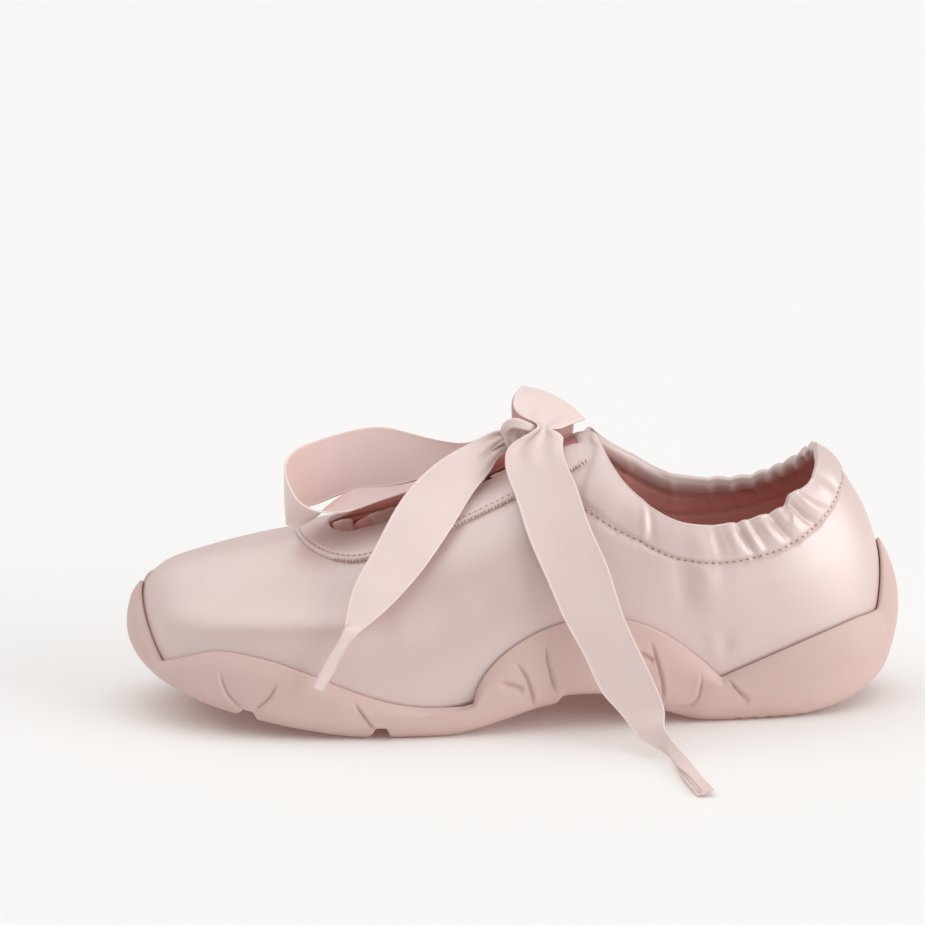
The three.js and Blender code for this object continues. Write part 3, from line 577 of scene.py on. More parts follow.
def satin_material(name, colour, deep, roughness):
    """Smooth satin: slow cloudy tone, fine threads along the shoe, a soft sheen."""
    material, tree, plain = shader(name, colour, roughness)
    cloud = stretched_noise(tree, EVEN, 26)
    thread = stretched_noise(tree, (60, 900, 900), 1.6)
    tone = blend_colours(tree, span(tree, cloud, 0, 1, *CLOUD_SPAN), colour, deep)
    tone = blend_colours(tree, span(tree, thread, 0, 0.16, *WIDE_SPAN), tone, shade(deep, 0.93))
    tree.links.new(tone, plain.inputs["Base Color"])
    gloss = span(tree, thread, roughness - 0.05, roughness + 0.06, *WIDE_SPAN)
    tree.links.new(gloss, plain.inputs["Roughness"])
    set_sockets(plain, {
        "IOR": 2.2, "Specular IOR Level": 0.75, "Coat Weight": 0.4, "Coat Roughness": 0.42,
        "Sheen Weight": 0.06, "Sheen Roughness": 0.4, "Sheen Tint": (1, 0.95, 0.94, 1),
    })
    ripple = stretched_noise(tree, EVEN, 150)
    bump(tree, plain, [(thread, 0.16, 0.0002), (ripple, 0.08, 0.0008)])
    return material


def ribbon_material(name, colour, deep, roughness):
    """Satin ribbon: threads along the length and a tight woven edge."""
    material, tree, plain = shader(name, colour, roughness)
    where = node(tree, "ShaderNodeTexCoord")
    parts = node(tree, "ShaderNodeSeparateXYZ")
    tree.links.new(where.outputs["UV"], parts.inputs["Vector"])
    thread = stretched_noise(tree, (160, 3, 1), 1.0, coordinate="UV")
    cloud = stretched_noise(tree, EVEN, 30)
    tone = blend_colours(tree, span(tree, cloud, 0, 1, *CLOUD_SPAN), colour, deep)
    off_middle = node(tree, "ShaderNodeMath", operation="SUBTRACT")
    off_middle.inputs[1].default_value = 0.5
    size = node(tree, "ShaderNodeMath", operation="ABSOLUTE")
    tree.links.new(parts.outputs["X"], off_middle.inputs[0])
    tree.links.new(off_middle.outputs[0], size.inputs[0])
    edge = span(tree, size.outputs[0], 0, 1, 0.455, 0.475)
    tone = blend_colours(tree, span(tree, thread, 0, 0.18, *WIDE_SPAN), tone, shade(deep, 0.93))
    tone = blend_colours(tree, edge, tone, tuple(min(1, c * 1.07) for c in colour))
    tree.links.new(tone, plain.inputs["Base Color"])
    tree.links.new(span(tree, edge, roughness, 0.62), plain.inputs["Roughness"])
    set_sockets(plain, {
        "Sheen Weight": 0.12, "Sheen Roughness": 0.35, "Sheen Tint": (1, 0.88, 0.85, 1)})
    bump(tree, plain, [(thread, 0.2, 0.0002), (edge, 0.25, 0.0002)])
    return material


def lining_material(name, colour, deep, roughness):
    """Matte brushed lining with a fine crossed weave."""
    material, tree, plain = shader(name, colour, roughness)
    cloud = stretched_noise(tree, EVEN, 45, 3)
    warp = stretched_noise(tree, (120, 1400, 1400), 1.0)
    weft = stretched_noise(tree, (1400, 1400, 120), 1.0)
    tone = blend_colours(tree, span(tree, cloud, 0, 1, *WIDE_SPAN), colour, deep)
    tone = blend_colours(tree, span(tree, warp, 0, 0.25, *WIDE_SPAN), tone, shade(deep, 0.85))
    tree.links.new(tone, plain.inputs["Base Color"])
    set_sockets(plain, {"Sheen Weight": 0.2})
    bump(tree, plain, [(warp, 0.35, 0.0003), (weft, 0.35, 0.0003)])
    return material


def rubber_material(name, colour, deep, roughness):
    """Moulded matte rubber with a fine eggshell skin, darker in patches near the ground."""
    material, tree, plain = shader(name, colour, roughness)
    skin = stretched_noise(tree, EVEN, 2600)
    cloud = stretched_noise(tree, EVEN, 22, 3)
    low_patches = stretched_noise(tree, (90, 90, 420), 1.0, 5)
    where = node(tree, "ShaderNodeTexCoord")
    parts = node(tree, "ShaderNodeSeparateXYZ")
    tree.links.new(where.outputs["Object"], parts.inputs["Vector"])
    # Darker in noisy patches within 7 mm of the ground.
    low = span(tree, parts.outputs["Z"], 1, 0, 0.0005, 0.007)
    tone = blend_colours(tree, span(tree, cloud, 0, 1, 0.3, 0.75), colour, deep)
    low_darkening = node(tree, "ShaderNodeMath", operation="MULTIPLY")
    tree.links.new(low, low_darkening.inputs[0])
    tree.links.new(span(tree, low_patches, 0, 0.55, 0.45, 0.75), low_darkening.inputs[1])
    tone = blend_colours(tree, low_darkening.outputs[0], tone, shade(deep, 0.78))
    tree.links.new(tone, plain.inputs["Base Color"])
    gloss = span(tree, cloud, roughness - 0.06, roughness + 0.06, *WIDE_SPAN)
    tree.links.new(gloss, plain.inputs["Roughness"])
    bump(tree, plain, [(skin, 0.12, 0.0002)])
    return material


def thread_material(name, colour, deep, roughness):
    """Twisted sewing thread."""
    material, tree, plain = shader(name, colour, roughness)
    twist = stretched_noise(tree, (2500, 2500, 2500), 1.0)
    tone = blend_colours(tree, span(tree, twist, 0, 0.5, *WIDE_SPAN), colour, deep)
    tree.links.new(tone, plain.inputs["Base Color"])
    bump(tree, plain, [(twist, 0.4, 0.0002)])
    return material


# Finishes: maker, colour setting, deep tone as a setting or a share of the colour, roughness
FINISHES = {
    "blush_satin": (satin_material, "satin", "satin_deep", 0.45),
    "bow_ribbon": (ribbon_material, "ribbon", "ribbon_deep", 0.40),
    # The reverse finish is rougher, and its tone carries painted shade.
    "ribbon_reverse": (ribbon_material, "reverse", 0.94, 0.55),
    # The lace's rosier tone is painted shade.
    "lace_ribbon": (ribbon_material, "lace", 0.9, 0.40),
    # The tongue's lighter tone is painted light against the slot's shade.
    "tongue_cloth": (lining_material, "tongue", 0.9, 0.85),
    "rose_lining": (lining_material, "lining", "lining_deep", 0.85),
    "pink_rubber": (rubber_material, "rubber", "rubber_deep", 0.58),
    "seam_thread": (thread_material, "thread", 0.7, 0.6),
    "pale_thread": (thread_material, "pale_thread", 0.7, 0.6),
    "lining_thread": (thread_material, "lining_thread", 0.7, 0.6),
}


def material_of(name):
    """The shoe's finishes, each made once from the colours in the sidebar."""
    if name in bpy.data.materials:
        return bpy.data.materials[name]
    maker, colour, deep, roughness = FINISHES[name]
    colours = bpy.context.scene.sneaker_colours
    light = tuple(getattr(colours, colour))
    dark = tuple(getattr(colours, deep)) if isinstance(deep, str) else shade(light, deep)
    return maker(name, light, dark, roughness)


# Settings

def length_setting(name, description, default, low, high):
    return bpy.props.FloatProperty(
        name=name, description=description, default=default, min=low, max=high, unit="LENGTH")


def colour_setting(name, description, default):
    return bpy.props.FloatVectorProperty(
        name=name, description=description, default=default, size=3, min=0, max=1, subtype="COLOR")


def strength_setting(name, description, default, high=10):
    return bpy.props.FloatProperty(
        name=name, description=description, default=default, min=0, max=high)


class SneakerSizes(bpy.types.PropertyGroup):
    """Sizes that change the dressing and keep the solids' outline."""
    ribbon_width: length_setting("Ribbon width", "Width of the open ribbon", 0.022, 0.012, 0.03)
    ribbon_thick: length_setting(
        "Ribbon thickness", "Thickness of the satin ribbon", 0.0004, 0.0002, 0.001)
    stitch_pitch: length_setting(
        "Stitch pitch", "Step from one collar stitch to the next", 0.0024, 0.001, 0.006)
    gather_height: bpy.props.FloatProperty(
        name="Gather height", description="How strongly the elastic gathers the collar",
        default=1.0, min=0.0, max=2.0, subtype="FACTOR")
    groove_depth: length_setting(
        "Side groove depth", "Depth of the lines pressed in the sole's side", 0.0011, 0.0, 0.002)
    tread_depth: length_setting(
        "Tread depth", "Depth of the fine wave tread under the sole", 0.0011, 0.0, 0.002)


class SneakerColours(bpy.types.PropertyGroup):
    """Base colours of the finishes."""
    satin: colour_setting("Satin", "Light tone of the upper's satin", (0.70, 0.519, 0.482))
    satin_deep: colour_setting(
        "Satin, deep", "Deep tone of the upper's satin", (0.66, 0.479, 0.442))
    ribbon: colour_setting("Ribbon", "Light tone of the bow", (0.84, 0.69, 0.66))
    ribbon_deep: colour_setting("Ribbon, deep", "Deep tone of the bow", (0.80, 0.635, 0.60))
    # The ribbon's reverse is its duller back; its deeper, rosier tone is painted shade for the
    # insides of the loops.
    reverse: colour_setting(
        "Ribbon, reverse", "Tone of the ribbon's duller side", (0.80, 0.60, 0.565))
    rubber: colour_setting("Sole", "Tone of the moulded sole", (0.685, 0.505, 0.46))
    rubber_deep: colour_setting("Sole, deep", "Deep tone of the moulded sole", (0.645, 0.464, 0.42))
    lining: colour_setting("Lining", "Tone of the lining and footbed", (0.74, 0.36, 0.31))
    lining_deep: colour_setting("Lining, deep", "Deep tone of the lining", (0.66, 0.30, 0.25))
    # The tongue's tone is lighter than the lining's: painted light that offsets the shade in the
    # deep slot.
    tongue: colour_setting("Tongue", "Tone of the tongue under the slot", (0.88, 0.48, 0.41))
    thread: colour_setting("Thread", "Tone of the seam thread", (0.44, 0.25, 0.22))
    # The lace is the bow's ribbon; its rosier, deeper tone is painted shade, the rosy dimness deep
    # in the slot.
    lace: colour_setting(
        "Lace", "Ribbon in the throat slot, rosier than the bow", (0.82, 0.57, 0.52))
    pale_thread: colour_setting(
        "Pale thread", "Tone of the throat's fine stitches", (0.55, 0.36, 0.32))
    lining_thread: colour_setting(
        "Lining thread", "Tone of the thread seen inside", (0.62, 0.42, 0.38))


class SneakerStage(bpy.types.PropertyGroup):
    """Light and floor."""
    sky: strength_setting("Sky", "Strength of the white surround", 0.64, 3)
    key: strength_setting("Heel light", "Strength of the broad light from the heel's side", 2.0)
    overhead: strength_setting("Overhead light", "Strength of the broad light from above", 1.08)
    fill: strength_setting("Toe light", "Strength of the weak light from the toe's side", 0.4)
    # The floor gives off a weak rosy light of its own: painted light that lifts and pinks the
    # shadows round the shoe. The floor's tone leans blue-green so that, where the floor is lit,
    # tone and glow add up to white.
    floor: colour_setting("Floor", "Pale floor", (0.848, 0.876, 0.87))
    painted_glow: colour_setting(
        "Floor glow", "Rosy light that the floor gives back in the shadow", (0.082, 0.042, 0.036))


# Stage

class SNEAKER_OT_stage(bpy.types.Operator):
    """Camera at the photograph's angle, pale floor and soft studio light"""
    bl_idname = "sneaker.stage"
    bl_label = "Stage"

    def execute(self, context):
        settings = context.scene.sneaker_stage
        self.camera(context)
        self.floor(context, settings)
        self.lights(context, settings)
        context.scene.view_settings.view_transform = "Standard"
        return {"FINISHED"}

    def camera(self, context):
        back = Vector((
            math.sin(CAMERA_YAW) * math.cos(CAMERA_RISE),
            math.cos(CAMERA_YAW) * math.cos(CAMERA_RISE),
            math.sin(CAMERA_RISE),
        ))
        right = Vector((-math.cos(CAMERA_YAW), math.sin(CAMERA_YAW), 0))
        up = back.cross(right)
        focal = PIXELS_PER_MM * CAMERA_FAR * 1000
        aside, above = PIXELS / 2 - AIM_PIXEL[0], AIM_PIXEL[1] - PIXELS / 2
        forward = (-back + right * (aside / focal) + up * (above / focal)).normalized()
        side = (right - forward * right.dot(forward)).normalized()
        camera = bpy.data.cameras.new("photo_camera")
        camera.lens = camera.sensor_width * focal / PIXELS
        camera.clip_start, camera.clip_end = 0.01, 60
        eye = bpy.data.objects.new("photo_camera", camera)
        turn = Matrix((side, side.cross(forward), -forward)).transposed().to_4x4()
        eye.matrix_world = Matrix.Translation(Vector(to_frame(AIM)) + back * CAMERA_FAR) @ turn
        context.scene.collection.objects.link(eye)
        context.scene.camera = eye

    def floor(self, context, settings):
        colour = tuple(settings.floor)
        material, tree, plain = shader("pale_floor", colour, 0.9)
        # The emission is the floor's painted rosy glow, no lamp; it lightens the shadows on the
        # floor.
        set_sockets(plain, {"Specular IOR Level": 0.1, "Emission Color": (*settings.painted_glow, 1),
                            "Emission Strength": 1.0})
        grain = stretched_noise(tree, EVEN, 3.0)
        tone = blend_colours(tree, span(tree, grain, 0, 1, *WIDE_SPAN), colour, shade(colour, 0.99))
        tree.links.new(tone, plain.inputs["Base Color"])
        mesh = bpy.data.meshes.new("floor")
        corners = [(x * FLOOR_HALF, y * FLOOR_HALF, FLOOR_LEVEL)
                   for x, y in ((-1, -1), (1, -1), (1, 1), (-1, 1))]
        mesh.from_pydata(corners, [], [(0, 1, 2, 3)])
        mesh.materials.append(material)
        floor = bpy.data.objects.new("floor", mesh)
        context.scene.collection.objects.link(floor)

    def lights(self, context, settings):
        world = bpy.data.worlds.new("white_surround")
        world.use_nodes = True
        tree = world.node_tree
        sky = tree.nodes["Background"]
        sky.inputs["Color"].default_value = (1, 1, 1, 1)
        towards = node(tree, "ShaderNodeVectorMath", operation="DOT_PRODUCT")
        tree.links.new(node(tree, "ShaderNodeTexCoord").outputs["Generated"], towards.inputs[0])
        towards.inputs[1].default_value = DIM_SIDE
        dim = span(tree, towards.outputs["Value"],
                   settings.sky, DIM_SHARE * settings.sky, *DIM_SPAN)
        tree.links.new(dim, sky.inputs["Strength"])
        context.scene.world = world
        for name, strength, spread, towards in LIGHTS:
            sun = bpy.data.lights.new(name, "SUN")
            sun.energy, sun.angle = getattr(settings, strength), math.radians(spread)
            sun.color = LIGHT_TONE
            lamp = bpy.data.objects.new(name, sun)
            lamp.rotation_euler = Vector(towards).to_track_quat("-Z", "Y").to_euler()
            context.scene.collection.objects.link(lamp)


# Bow

RIBBON_STEPS, RIBBON_ACROSS = 340, 41
# Width that the tables are drawn at; how much thicker the woven edge is, and where it starts
DRAWN_WIDTH, EDGE_THICKER, EDGE_FROM = 22.0, 0.7, (0.93, 0.97)
# Pleats at the knot: most height, height by width, turns, start, mm from the knot where they ease
PLEAT_HIGH, PLEAT_SHARE, PLEAT_TURNS, PLEAT_START, PLEAT_EASE = 0.75, 0.1, 2.4, 0.7, (7, 22)
# Fold of the slim end: turns, step between layers, slimness and share of the run where it starts
FOLD_TURNS, FOLD_STEP, FOLD_SLIM, FOLD_FROM = 2.5, 0.95, (2.6, 5.0), (0.82, 0.88)
CURL, CURL_LEVEL = 0.018, 0.4
# Knot's core: size, pleat height, number and slant; its band: half width, slimming and its place,
# height, number and twist of the rolls, flatness
KNOT_SIZE, KNOT_PLEAT, KNOT_PLEATS, KNOT_SLANT = 0.94, 0.13, 9, 0.7
BAND_HALF, BAND_SLIMMER, BAND_SLIM_AT = 1.45, 0.35, (2.0, 5.5)
BAND_ROLL, BAND_ROLLS, BAND_TWIST, BAND_FLAT = 0.16, 3, 0.5, 1.25
# Places of the knot's weave: middle and half span
KNOT_WEAVE, KNOT_WEAVE_HALF = 0.5, 0.3


def ribbon_section(width, pleat, folded, across):
    """Across the ribbon: nearly flat, pleated at the knot, folded in the slim end."""
    flat = across * width / 2
    high = CURL * width * (across**2 - CURL_LEVEL)
    pleats = np.cos(PLEAT_TURNS * np.pi * across + PLEAT_START)
    high = high + pleat * min(PLEAT_HIGH, PLEAT_SHARE * width) * pleats
    fold = width / 2 * np.sin(FOLD_TURNS * np.pi * across)
    return flat + (fold - flat) * folded, high + (FOLD_STEP * across - high) * folded


class SNEAKER_OT_bow(bpy.types.Operator):
    """Ribbon bow: two loops, two hanging ends and the knot"""
    bl_idname = "sneaker.bow"
    bl_label = "Bow"

    def execute(self, context):
        sizes = context.scene.sneaker_sizes
        full, thick = sizes.ribbon_width * 1000, sizes.ribbon_thick * 1000
        knot = self.knot()
        strands = (
            ("bow_ribbon_back", LOOP_BACK + TAIL_SIDE, ("bow_loop_back", "bow_tail_side"), 1),
            ("bow_ribbon_front", LOOP_FRONT + TAIL_FRONT, ("bow_loop_front", "bow_tail_front"), 0),
        )
        for name, rows, nodes, reverse in strands:
            piece, line = self.strand(name, np.array(rows), full, thick, reverse)
            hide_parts(*nodes)
            length = float(np.linalg.norm(np.diff(line, axis=0), axis=1).sum())
            tuple(line[0])
        return {"FINISHED"}

    def strand(self, name, rows, full, thick, reverse):
        """Thin ribbon between its two edges; reverse tells which face is the duller one, whose
        deeper rosy tone is painted shade.
        """
        steps, wide = RIBBON_STEPS, RIBBON_ACROSS
        at = np.linspace(0, 1, steps)
        run = run_along((rows[:, :3] + rows[:, 3:]) / 2)
        edges = cubic(rows, at, run / run[-1])
        line = (edges[:, :3] + edges[:, 3:]) / 2
        facing = edges[:, 3:] - edges[:, :3]
        width = np.linalg.norm(facing, axis=1) * (full / DRAWN_WIDTH)
        tangent = unit(np.gradient(line, axis=0))
        face = unit(np.cross(tangent, facing))
        facing = unit(facing)
        across = np.linspace(-1, 1, wide)
        to_knot = np.linalg.norm(line - KNOT_CORE, axis=1)
        pleat = 1 - smooth(to_knot, *PLEAT_EASE)
        arch = LOOP_ARCH * bell((line[:, 1] - LOOP_ARCH_Y) / LOOP_ARCH_HALF)
        arch = arch * smooth(line[:, 2], *LOOP_ARCH_FROM)
        folded = smooth(full / width, *FOLD_SLIM) * smooth(at, *FOLD_FROM)
        grid = np.zeros((steps, wide, 3))
        for i in range(steps):
            a, b = ribbon_section(width[i], pleat[i], folded[i], across)
            b = b + arch[i] * (1 - across**2)
            grid[i] = line[i] + a[:, None] * facing[i] + b[:, None] * face[i]
        edge = 1 + EDGE_THICKER * smooth(np.abs(across), *EDGE_FROM)
        points, faces = sheet_mesh(grid, thick * edge[None, :])
        uv = weave_at((across / 2 + 0.5)[None, :], run_along(line)[:, None] / DRAWN_WIDTH)
        uv = np.concatenate([uv.reshape(-1, 2)] * 2)
        kinds, side = np.zeros(len(faces), int), (steps - 1) * (wide - 1)
        kinds[reverse * side:(reverse + 1) * side] = 1
        faces, kinds = tidy_faces(faces, kinds)
        finishes = [material_of("bow_ribbon"), material_of("ribbon_reverse")]
        piece = new_piece(name, points, faces, finishes, uv, kinds)
        weld(piece)
        return piece, to_frame(line)

    def knot(self):
        """Pleated core with a rolled band round it."""
        turns, wide = 120, 40
        lon = np.linspace(0, 2 * np.pi, turns, endpoint=False)[:, None]
        lat = np.linspace(-np.pi / 2, np.pi / 2, wide)[None, :]
        size = KNOT_SIZE + KNOT_PLEAT * np.cos(KNOT_PLEATS * lon + KNOT_SLANT * lat) * np.cos(lat)
        ball = np.stack(np.broadcast_arrays(
            np.cos(lat) * np.cos(lon), np.cos(lat) * np.sin(lon), np.sin(lat)), -1)
        core = KNOT_CORE + ball * size[..., None] * KNOT_RADII
        faces = ring_faces(core)
        uv = weave_at(KNOT_WEAVE + KNOT_WEAVE_HALF * np.sin(lon * 2), lat)
        round_, ring = 200, 24
        at = np.linspace(0, len(KNOT_BAND), round_, endpoint=False)
        curves = [loop_curve(KNOT_BAND[:, k]) for k in range(3)]
        line = np.stack([curve(at) for curve in curves], -1)
        tangent = unit(np.roll(line, -1, 0) - np.roll(line, 1, 0))
        out = line - line.mean(0)
        out = unit(out - tangent * (out * tangent).sum(-1, keepdims=True))
        side = np.cross(tangent, out)
        turn = np.linspace(0, 2 * np.pi, ring, endpoint=False)
        slim = BAND_HALF - BAND_SLIMMER * smooth(at, *BAND_SLIM_AT)
        rolls = np.cos(BAND_ROLLS * turn[None, :] + BAND_TWIST * at[:, None])
        rolled = slim[:, None] * (1 + BAND_ROLL * rolls)
        band = line[:, None] + (rolled * np.cos(turn))[..., None] * out[:, None] \
            + (BAND_FLAT * rolled * np.sin(turn))[..., None] * side[:, None]
        body = numbered(band) + core.size // 3
        faces += grid_quads(body, close_rows=True, close_columns=True).tolist()
        band_uv = weave_at(KNOT_WEAVE + KNOT_WEAVE_HALF * np.cos(turn)[None, :],
                           at[:, None] * KNOT_WEAVE_HALF)
        points = np.concatenate([core.reshape(-1, 3), band.reshape(-1, 3)])
        uvs = np.concatenate([uv.reshape(-1, 2), band_uv.reshape(-1, 2)])
        piece = new_piece("bow_knot_wrap", points, faces, [material_of("bow_ribbon")],
                          uvs)
        weld(piece)
        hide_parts("bow_knot")
        return piece


# Upper

COLLAR_STEPS, VAMP_STEPS = 40, 18
# Depth of the collar seam below the rim, by section from the heel
SEAM_AT = (0.0, 0.5, 1.2, 2.0, 2.9, 3.35, 3.87, 4.2, 4.58, 4.92, 5.35, 5.8, 6.0)
SEAM_DEPTH = (13.3, 12.7, 12.8, 13.5, 12.9, 12.4, 13.1, 14.4, 18.7, 23.6, 30.1, 36.0, 38.0)
ROLL_DEPTH, GAP_DEPTH = 5.6, 3.0
# Gathers of the elastic collar: mm along the rim from the heel, half width, height,
# lean per mm of depth
OUTER_GATHERS = (
    (0.0, 4.0, 0.4, 0.05), (6.0, 3.0, -0.4, 0.10), (11.0, 3.4, 0.4, 0.10), (16.5, 2.4, -0.6, 0.25),
    (21.0, 3.2, 0.5, 0.40), (32.3, 3.2, 1.3, 0.80), (37.2, 1.9, -2.0, 0.80), (40.2, 2.2, 0.6, 0.60),
    (43.4, 1.7, -1.7, 0.50), (47.4, 2.6, 0.9, 0.50), (51.0, 1.6, -0.5, 0.45),
    (53.0, 1.6, 0.5, 0.40), (55.2, 1.6, -1.6, 0.40), (58.6, 2.6, 0.6, 0.35),
    (63.5, 2.4, -0.35, 0.20), (70.0, 5.0, 0.25, 0.10), (86.8, 2.8, -0.35, 0.05),
    (90.0, 2.8, 0.4, 0.05), (101.0, 6.0, -0.2, 0.0),
)
INNER_GATHERS = (
    (4.0, 2.4, -0.8, 0.0), (7.8, 2.8, 0.9, 0.1), (11.6, 2.0, -1.2, 0.1), (16.0, 3.4, 1.1, 0.2),
    (20.0, 2.2, -1.3, 0.2), (24.5, 3.0, 0.6, 0.1), (28.0, 1.9, -0.8, 0.2), (31.5, 2.4, 0.6, 0.3),
    (34.4, 1.9, -1.0, 0.3), (38.0, 2.8, 0.6, 0.2), (41.0, 1.8, -0.7, 0.3), (45.0, 2.8, 0.5, 0.2),
    (49.0, 2.2, -0.9, 0.3), (53.5, 3.0, 0.5, 0.1), (57.0, 2.0, -0.6, 0.2), (64.0, 4.0, 0.3, 0.1),
    (70.0, 2.4, -0.5, 0.1), (80.0, 5.0, 0.2, 0.0), (88.0, 3.0, -0.3, 0.0),
)
# Rim of the near side, by mm along it from the heel: one fold stands over the next
OUTER_RIM_AT = (20.0, 24.0, 30.0, 35.4, 36.6, 38.0, 96.0, 101.0, 107.0, 113.0, 119.0, 125.0, 131.0)
OUTER_RIM_LIFT = (0.0, 0.5, 1.8, 3.0, 0.6, 0.0, 0.0, 0.3, 1.2, 1.9, 1.6, 0.4, -0.8)
# Rim of the far side, by section from the heel: it stands higher near the throat
INNER_RIM_AT = (0.0, 1.0, 2.0, 3.0, 4.0, 5.0, 5.6, 6.0)
INNER_RIM_LIFT = (0.0, 0.0, -1.4, 1.8, 5.0, 1.4, -0.5, -0.8)
# Soft creases of the satin: points x, y, z, then half width and height
CREASES = (
    (((118.0, 17.0, 34.4), (110.7, 23.0, 34.8), (97.3, 30.0, 35.4), (83.9, 34.0, 36.0),
      (70.7, 36.7, 36.4), (59.8, 38.5, 36.5), (40.2, 39.5, 38.5), (20.0, 39.0, 44.0)), 9.0, 2.7),
    (((119.0, -24.0, 34.5), (98.0, -33.5, 35.5), (84.0, -36.5, 36.0), (60.0, -37.5, 36.5),
      (25.0, -35.0, 42.0)), 10.0, 1.8),
    (((-55.5, 36.0, 58.0), (-56.2, 37.2, 50.0), (-57.8, 38.0, 41.0)), 4.0, -0.5),
    (((-62.8, 35.5, 58.0), (-63.8, 37.0, 49.0), (-66.0, 37.5, 40.0)), 6.2, 1.5),
    (((-71.0, 35.0, 56.0), (-72.0, 36.5, 48.0), (-74.0, 37.0, 40.0)), 10.0, 1.1),
    (((-82.0, 34.0, 54.0), (-83.0, 35.5, 46.0)), 13.0, 0.4),
    (((-70.5, 34.5, 24.0), (-72.0, 35.5, 30.0)), 2.6, -0.7),
    (((-67.0, 35.0, 25.0), (-66.0, 36.5, 33.0)), 3.0, 0.4),
    (((-75.5, 34.0, 26.0), (-78.0, 35.0, 33.0)), 3.5, 0.35),
    (((-3.0, 38.0, 62.0), (4.0, 41.0, 50.0)), 7.0, -0.35),
    (((42.0, 39.5, 37.0), (27.0, 39.5, 41.0), (13.0, 39.5, 45.0), (-1.0, 39.0, 49.5)), 12.0, -2.3),
    (((-60.0, -33.0, 56.0), (-62.0, -35.0, 42.0)), 5.0, -0.9),
    (((-53.0, -32.0, 56.0), (-54.0, -34.0, 46.0)), 5.0, 0.45),
    (((-20.0, -33.0, 62.0), (-14.0, -36.0, 50.0)), 6.0, -0.45),
    (((-108.0, 14.0, 66.0), (-114.0, 16.0, 58.0)), 4.0, -0.45),
    (((-108.0, -14.0, 66.0), (-114.0, -16.0, 58.0)), 4.0, -0.45),
)
CREASE_END, CREASE_SHARP = 0.35, 1.6
# Gathers: growth in width with depth, share at the rim and mm where the rest comes,
# loss in the band's lower part, end below the seam, last sections
GATHER_WIDER, GATHER_WIDEST = 0.35, 1.4
GATHER_RIM, GATHER_RISE = 0.5, (0.3, 3.5)
GATHER_LOSS, GATHER_LOSS_AT, GATHER_END, GATHER_LAST = 0.55, (0.45, 1.0), (0.85, 1.2), (5.0, 5.7)
# Sunk gap between slot and collar: ends across it, its start and end along, lowest z,
# and the share from which the lining shows
GAP_ACROSS, GAP_START, GAP_END, GAP_LOWEST, GAP_LINED = (6.2, 7.6), (7, 10), (21, 25), 80, 0.2
# Rows of the skins, low and high; close rows: mm below the seam, loss and its run on the vamp,
# most share of the wall and how much of it they take
OUTER_ROWS, INNER_ROWS, RIM_ARC = (32, 36), (16, 24), 9
CLOSE_BELOW, CLOSE_LOSS, CLOSE_RUN, CLOSE_MOST, CLOSE_USE = 4.0, 0.6, 2.5, 0.6, 0.9
# Collar band: sections where it ends, fullness, step above and below the seam
COLLAR_END, PUFF, PUFF_ROUND, STEP_ABOVE, STEP_BELOW = (5.2, 5.9), 0.55, 0.8, 1.2, 0.2
# Pull of the seam: at the heel, more ahead of it, half width and its growth past the usual depth
PULL_HEEL, PULL_MORE, PULL_FROM = 0.35, 0.4, (0.2, 1.2)
PULL_WIDE, PULL_GROW, PULL_USUAL = 0.9, 0.05, 13
# Puckers along the seam: height, two lengths, shift between the sides, half width
PUCKER, PUCKER_LONG, PUCKER_SHORT, PUCKER_SHIFT, PUCKER_WIDE = 0.035, 6.1, 3.7, 0.8, 3.0
# Rim: share of the gathers, drop of the collar, mm of depth that move with it, height of its round
RIM_GATHER, RIM_DROP, RIM_DEPTH, RIM_ROUND = 0.5, 0.7, 12, 0.85
# Inside: rolled casing, nip under it, seam, share of the gathers
ROLL_HIGH, ROLL_ROUND, NIP, NIP_WIDE = 1.1, 0.7, 0.5, 0.7
SEWN_IN, SEWN_WIDE, FOLDS_IN = 0.35, 0.8, 0.8
# Cutter of the slot: points round it, how much larger than the slot, low and high end,
# and the share of faces that a good cut leaves
CUTTER_COUNT, CUTTER_MORE, CUTTER_Z, CUT_FACES = 96, 1.3, (30.0, 160.0), (0.9, 1.05)


def rim_run(u):
    """Length along the rim from the heel, mm."""
    ends = np.linspace(0, APEX, 601)
    return np.interp(from_heel(u), ends, run_along(top_at(ends)))


def seam_depth(u):
    return np.interp(from_heel(u), SEAM_AT, SEAM_DEPTH)


def to_line(points, line):
    """Distance to a polyline and the share of its length where that is met."""
    line = np.asarray(line, float)
    best, place = np.full(len(points), 1e9), np.zeros(len(points))
    run = run_along(line)
    for k in range(len(line) - 1):
        step = line[k + 1] - line[k]
        f = np.clip(((points - line[k]) @ step) / (step @ step), 0, 1)
        away = np.linalg.norm(points - line[k] - f[:, None] * step, axis=1)
        near = away < best
        best = np.where(near, away, best)
        place = np.where(near, (run[k] + f * (run[k + 1] - run[k])) / run[-1], place)
    return best, place


def crease_height(points):
    flat = points.reshape(-1, 3)
    height = np.zeros(len(flat))
    for line, half, deep in CREASES:
        away, place = to_line(flat, line)
        ends = CREASE_END + (1 - CREASE_END) * np.sin(np.pi * np.clip(place, 0.02, 0.98))
        height += deep * ends * np.exp(-(away / half) ** 2 * CREASE_SHARP)
    return height.reshape(points.shape[:-1])


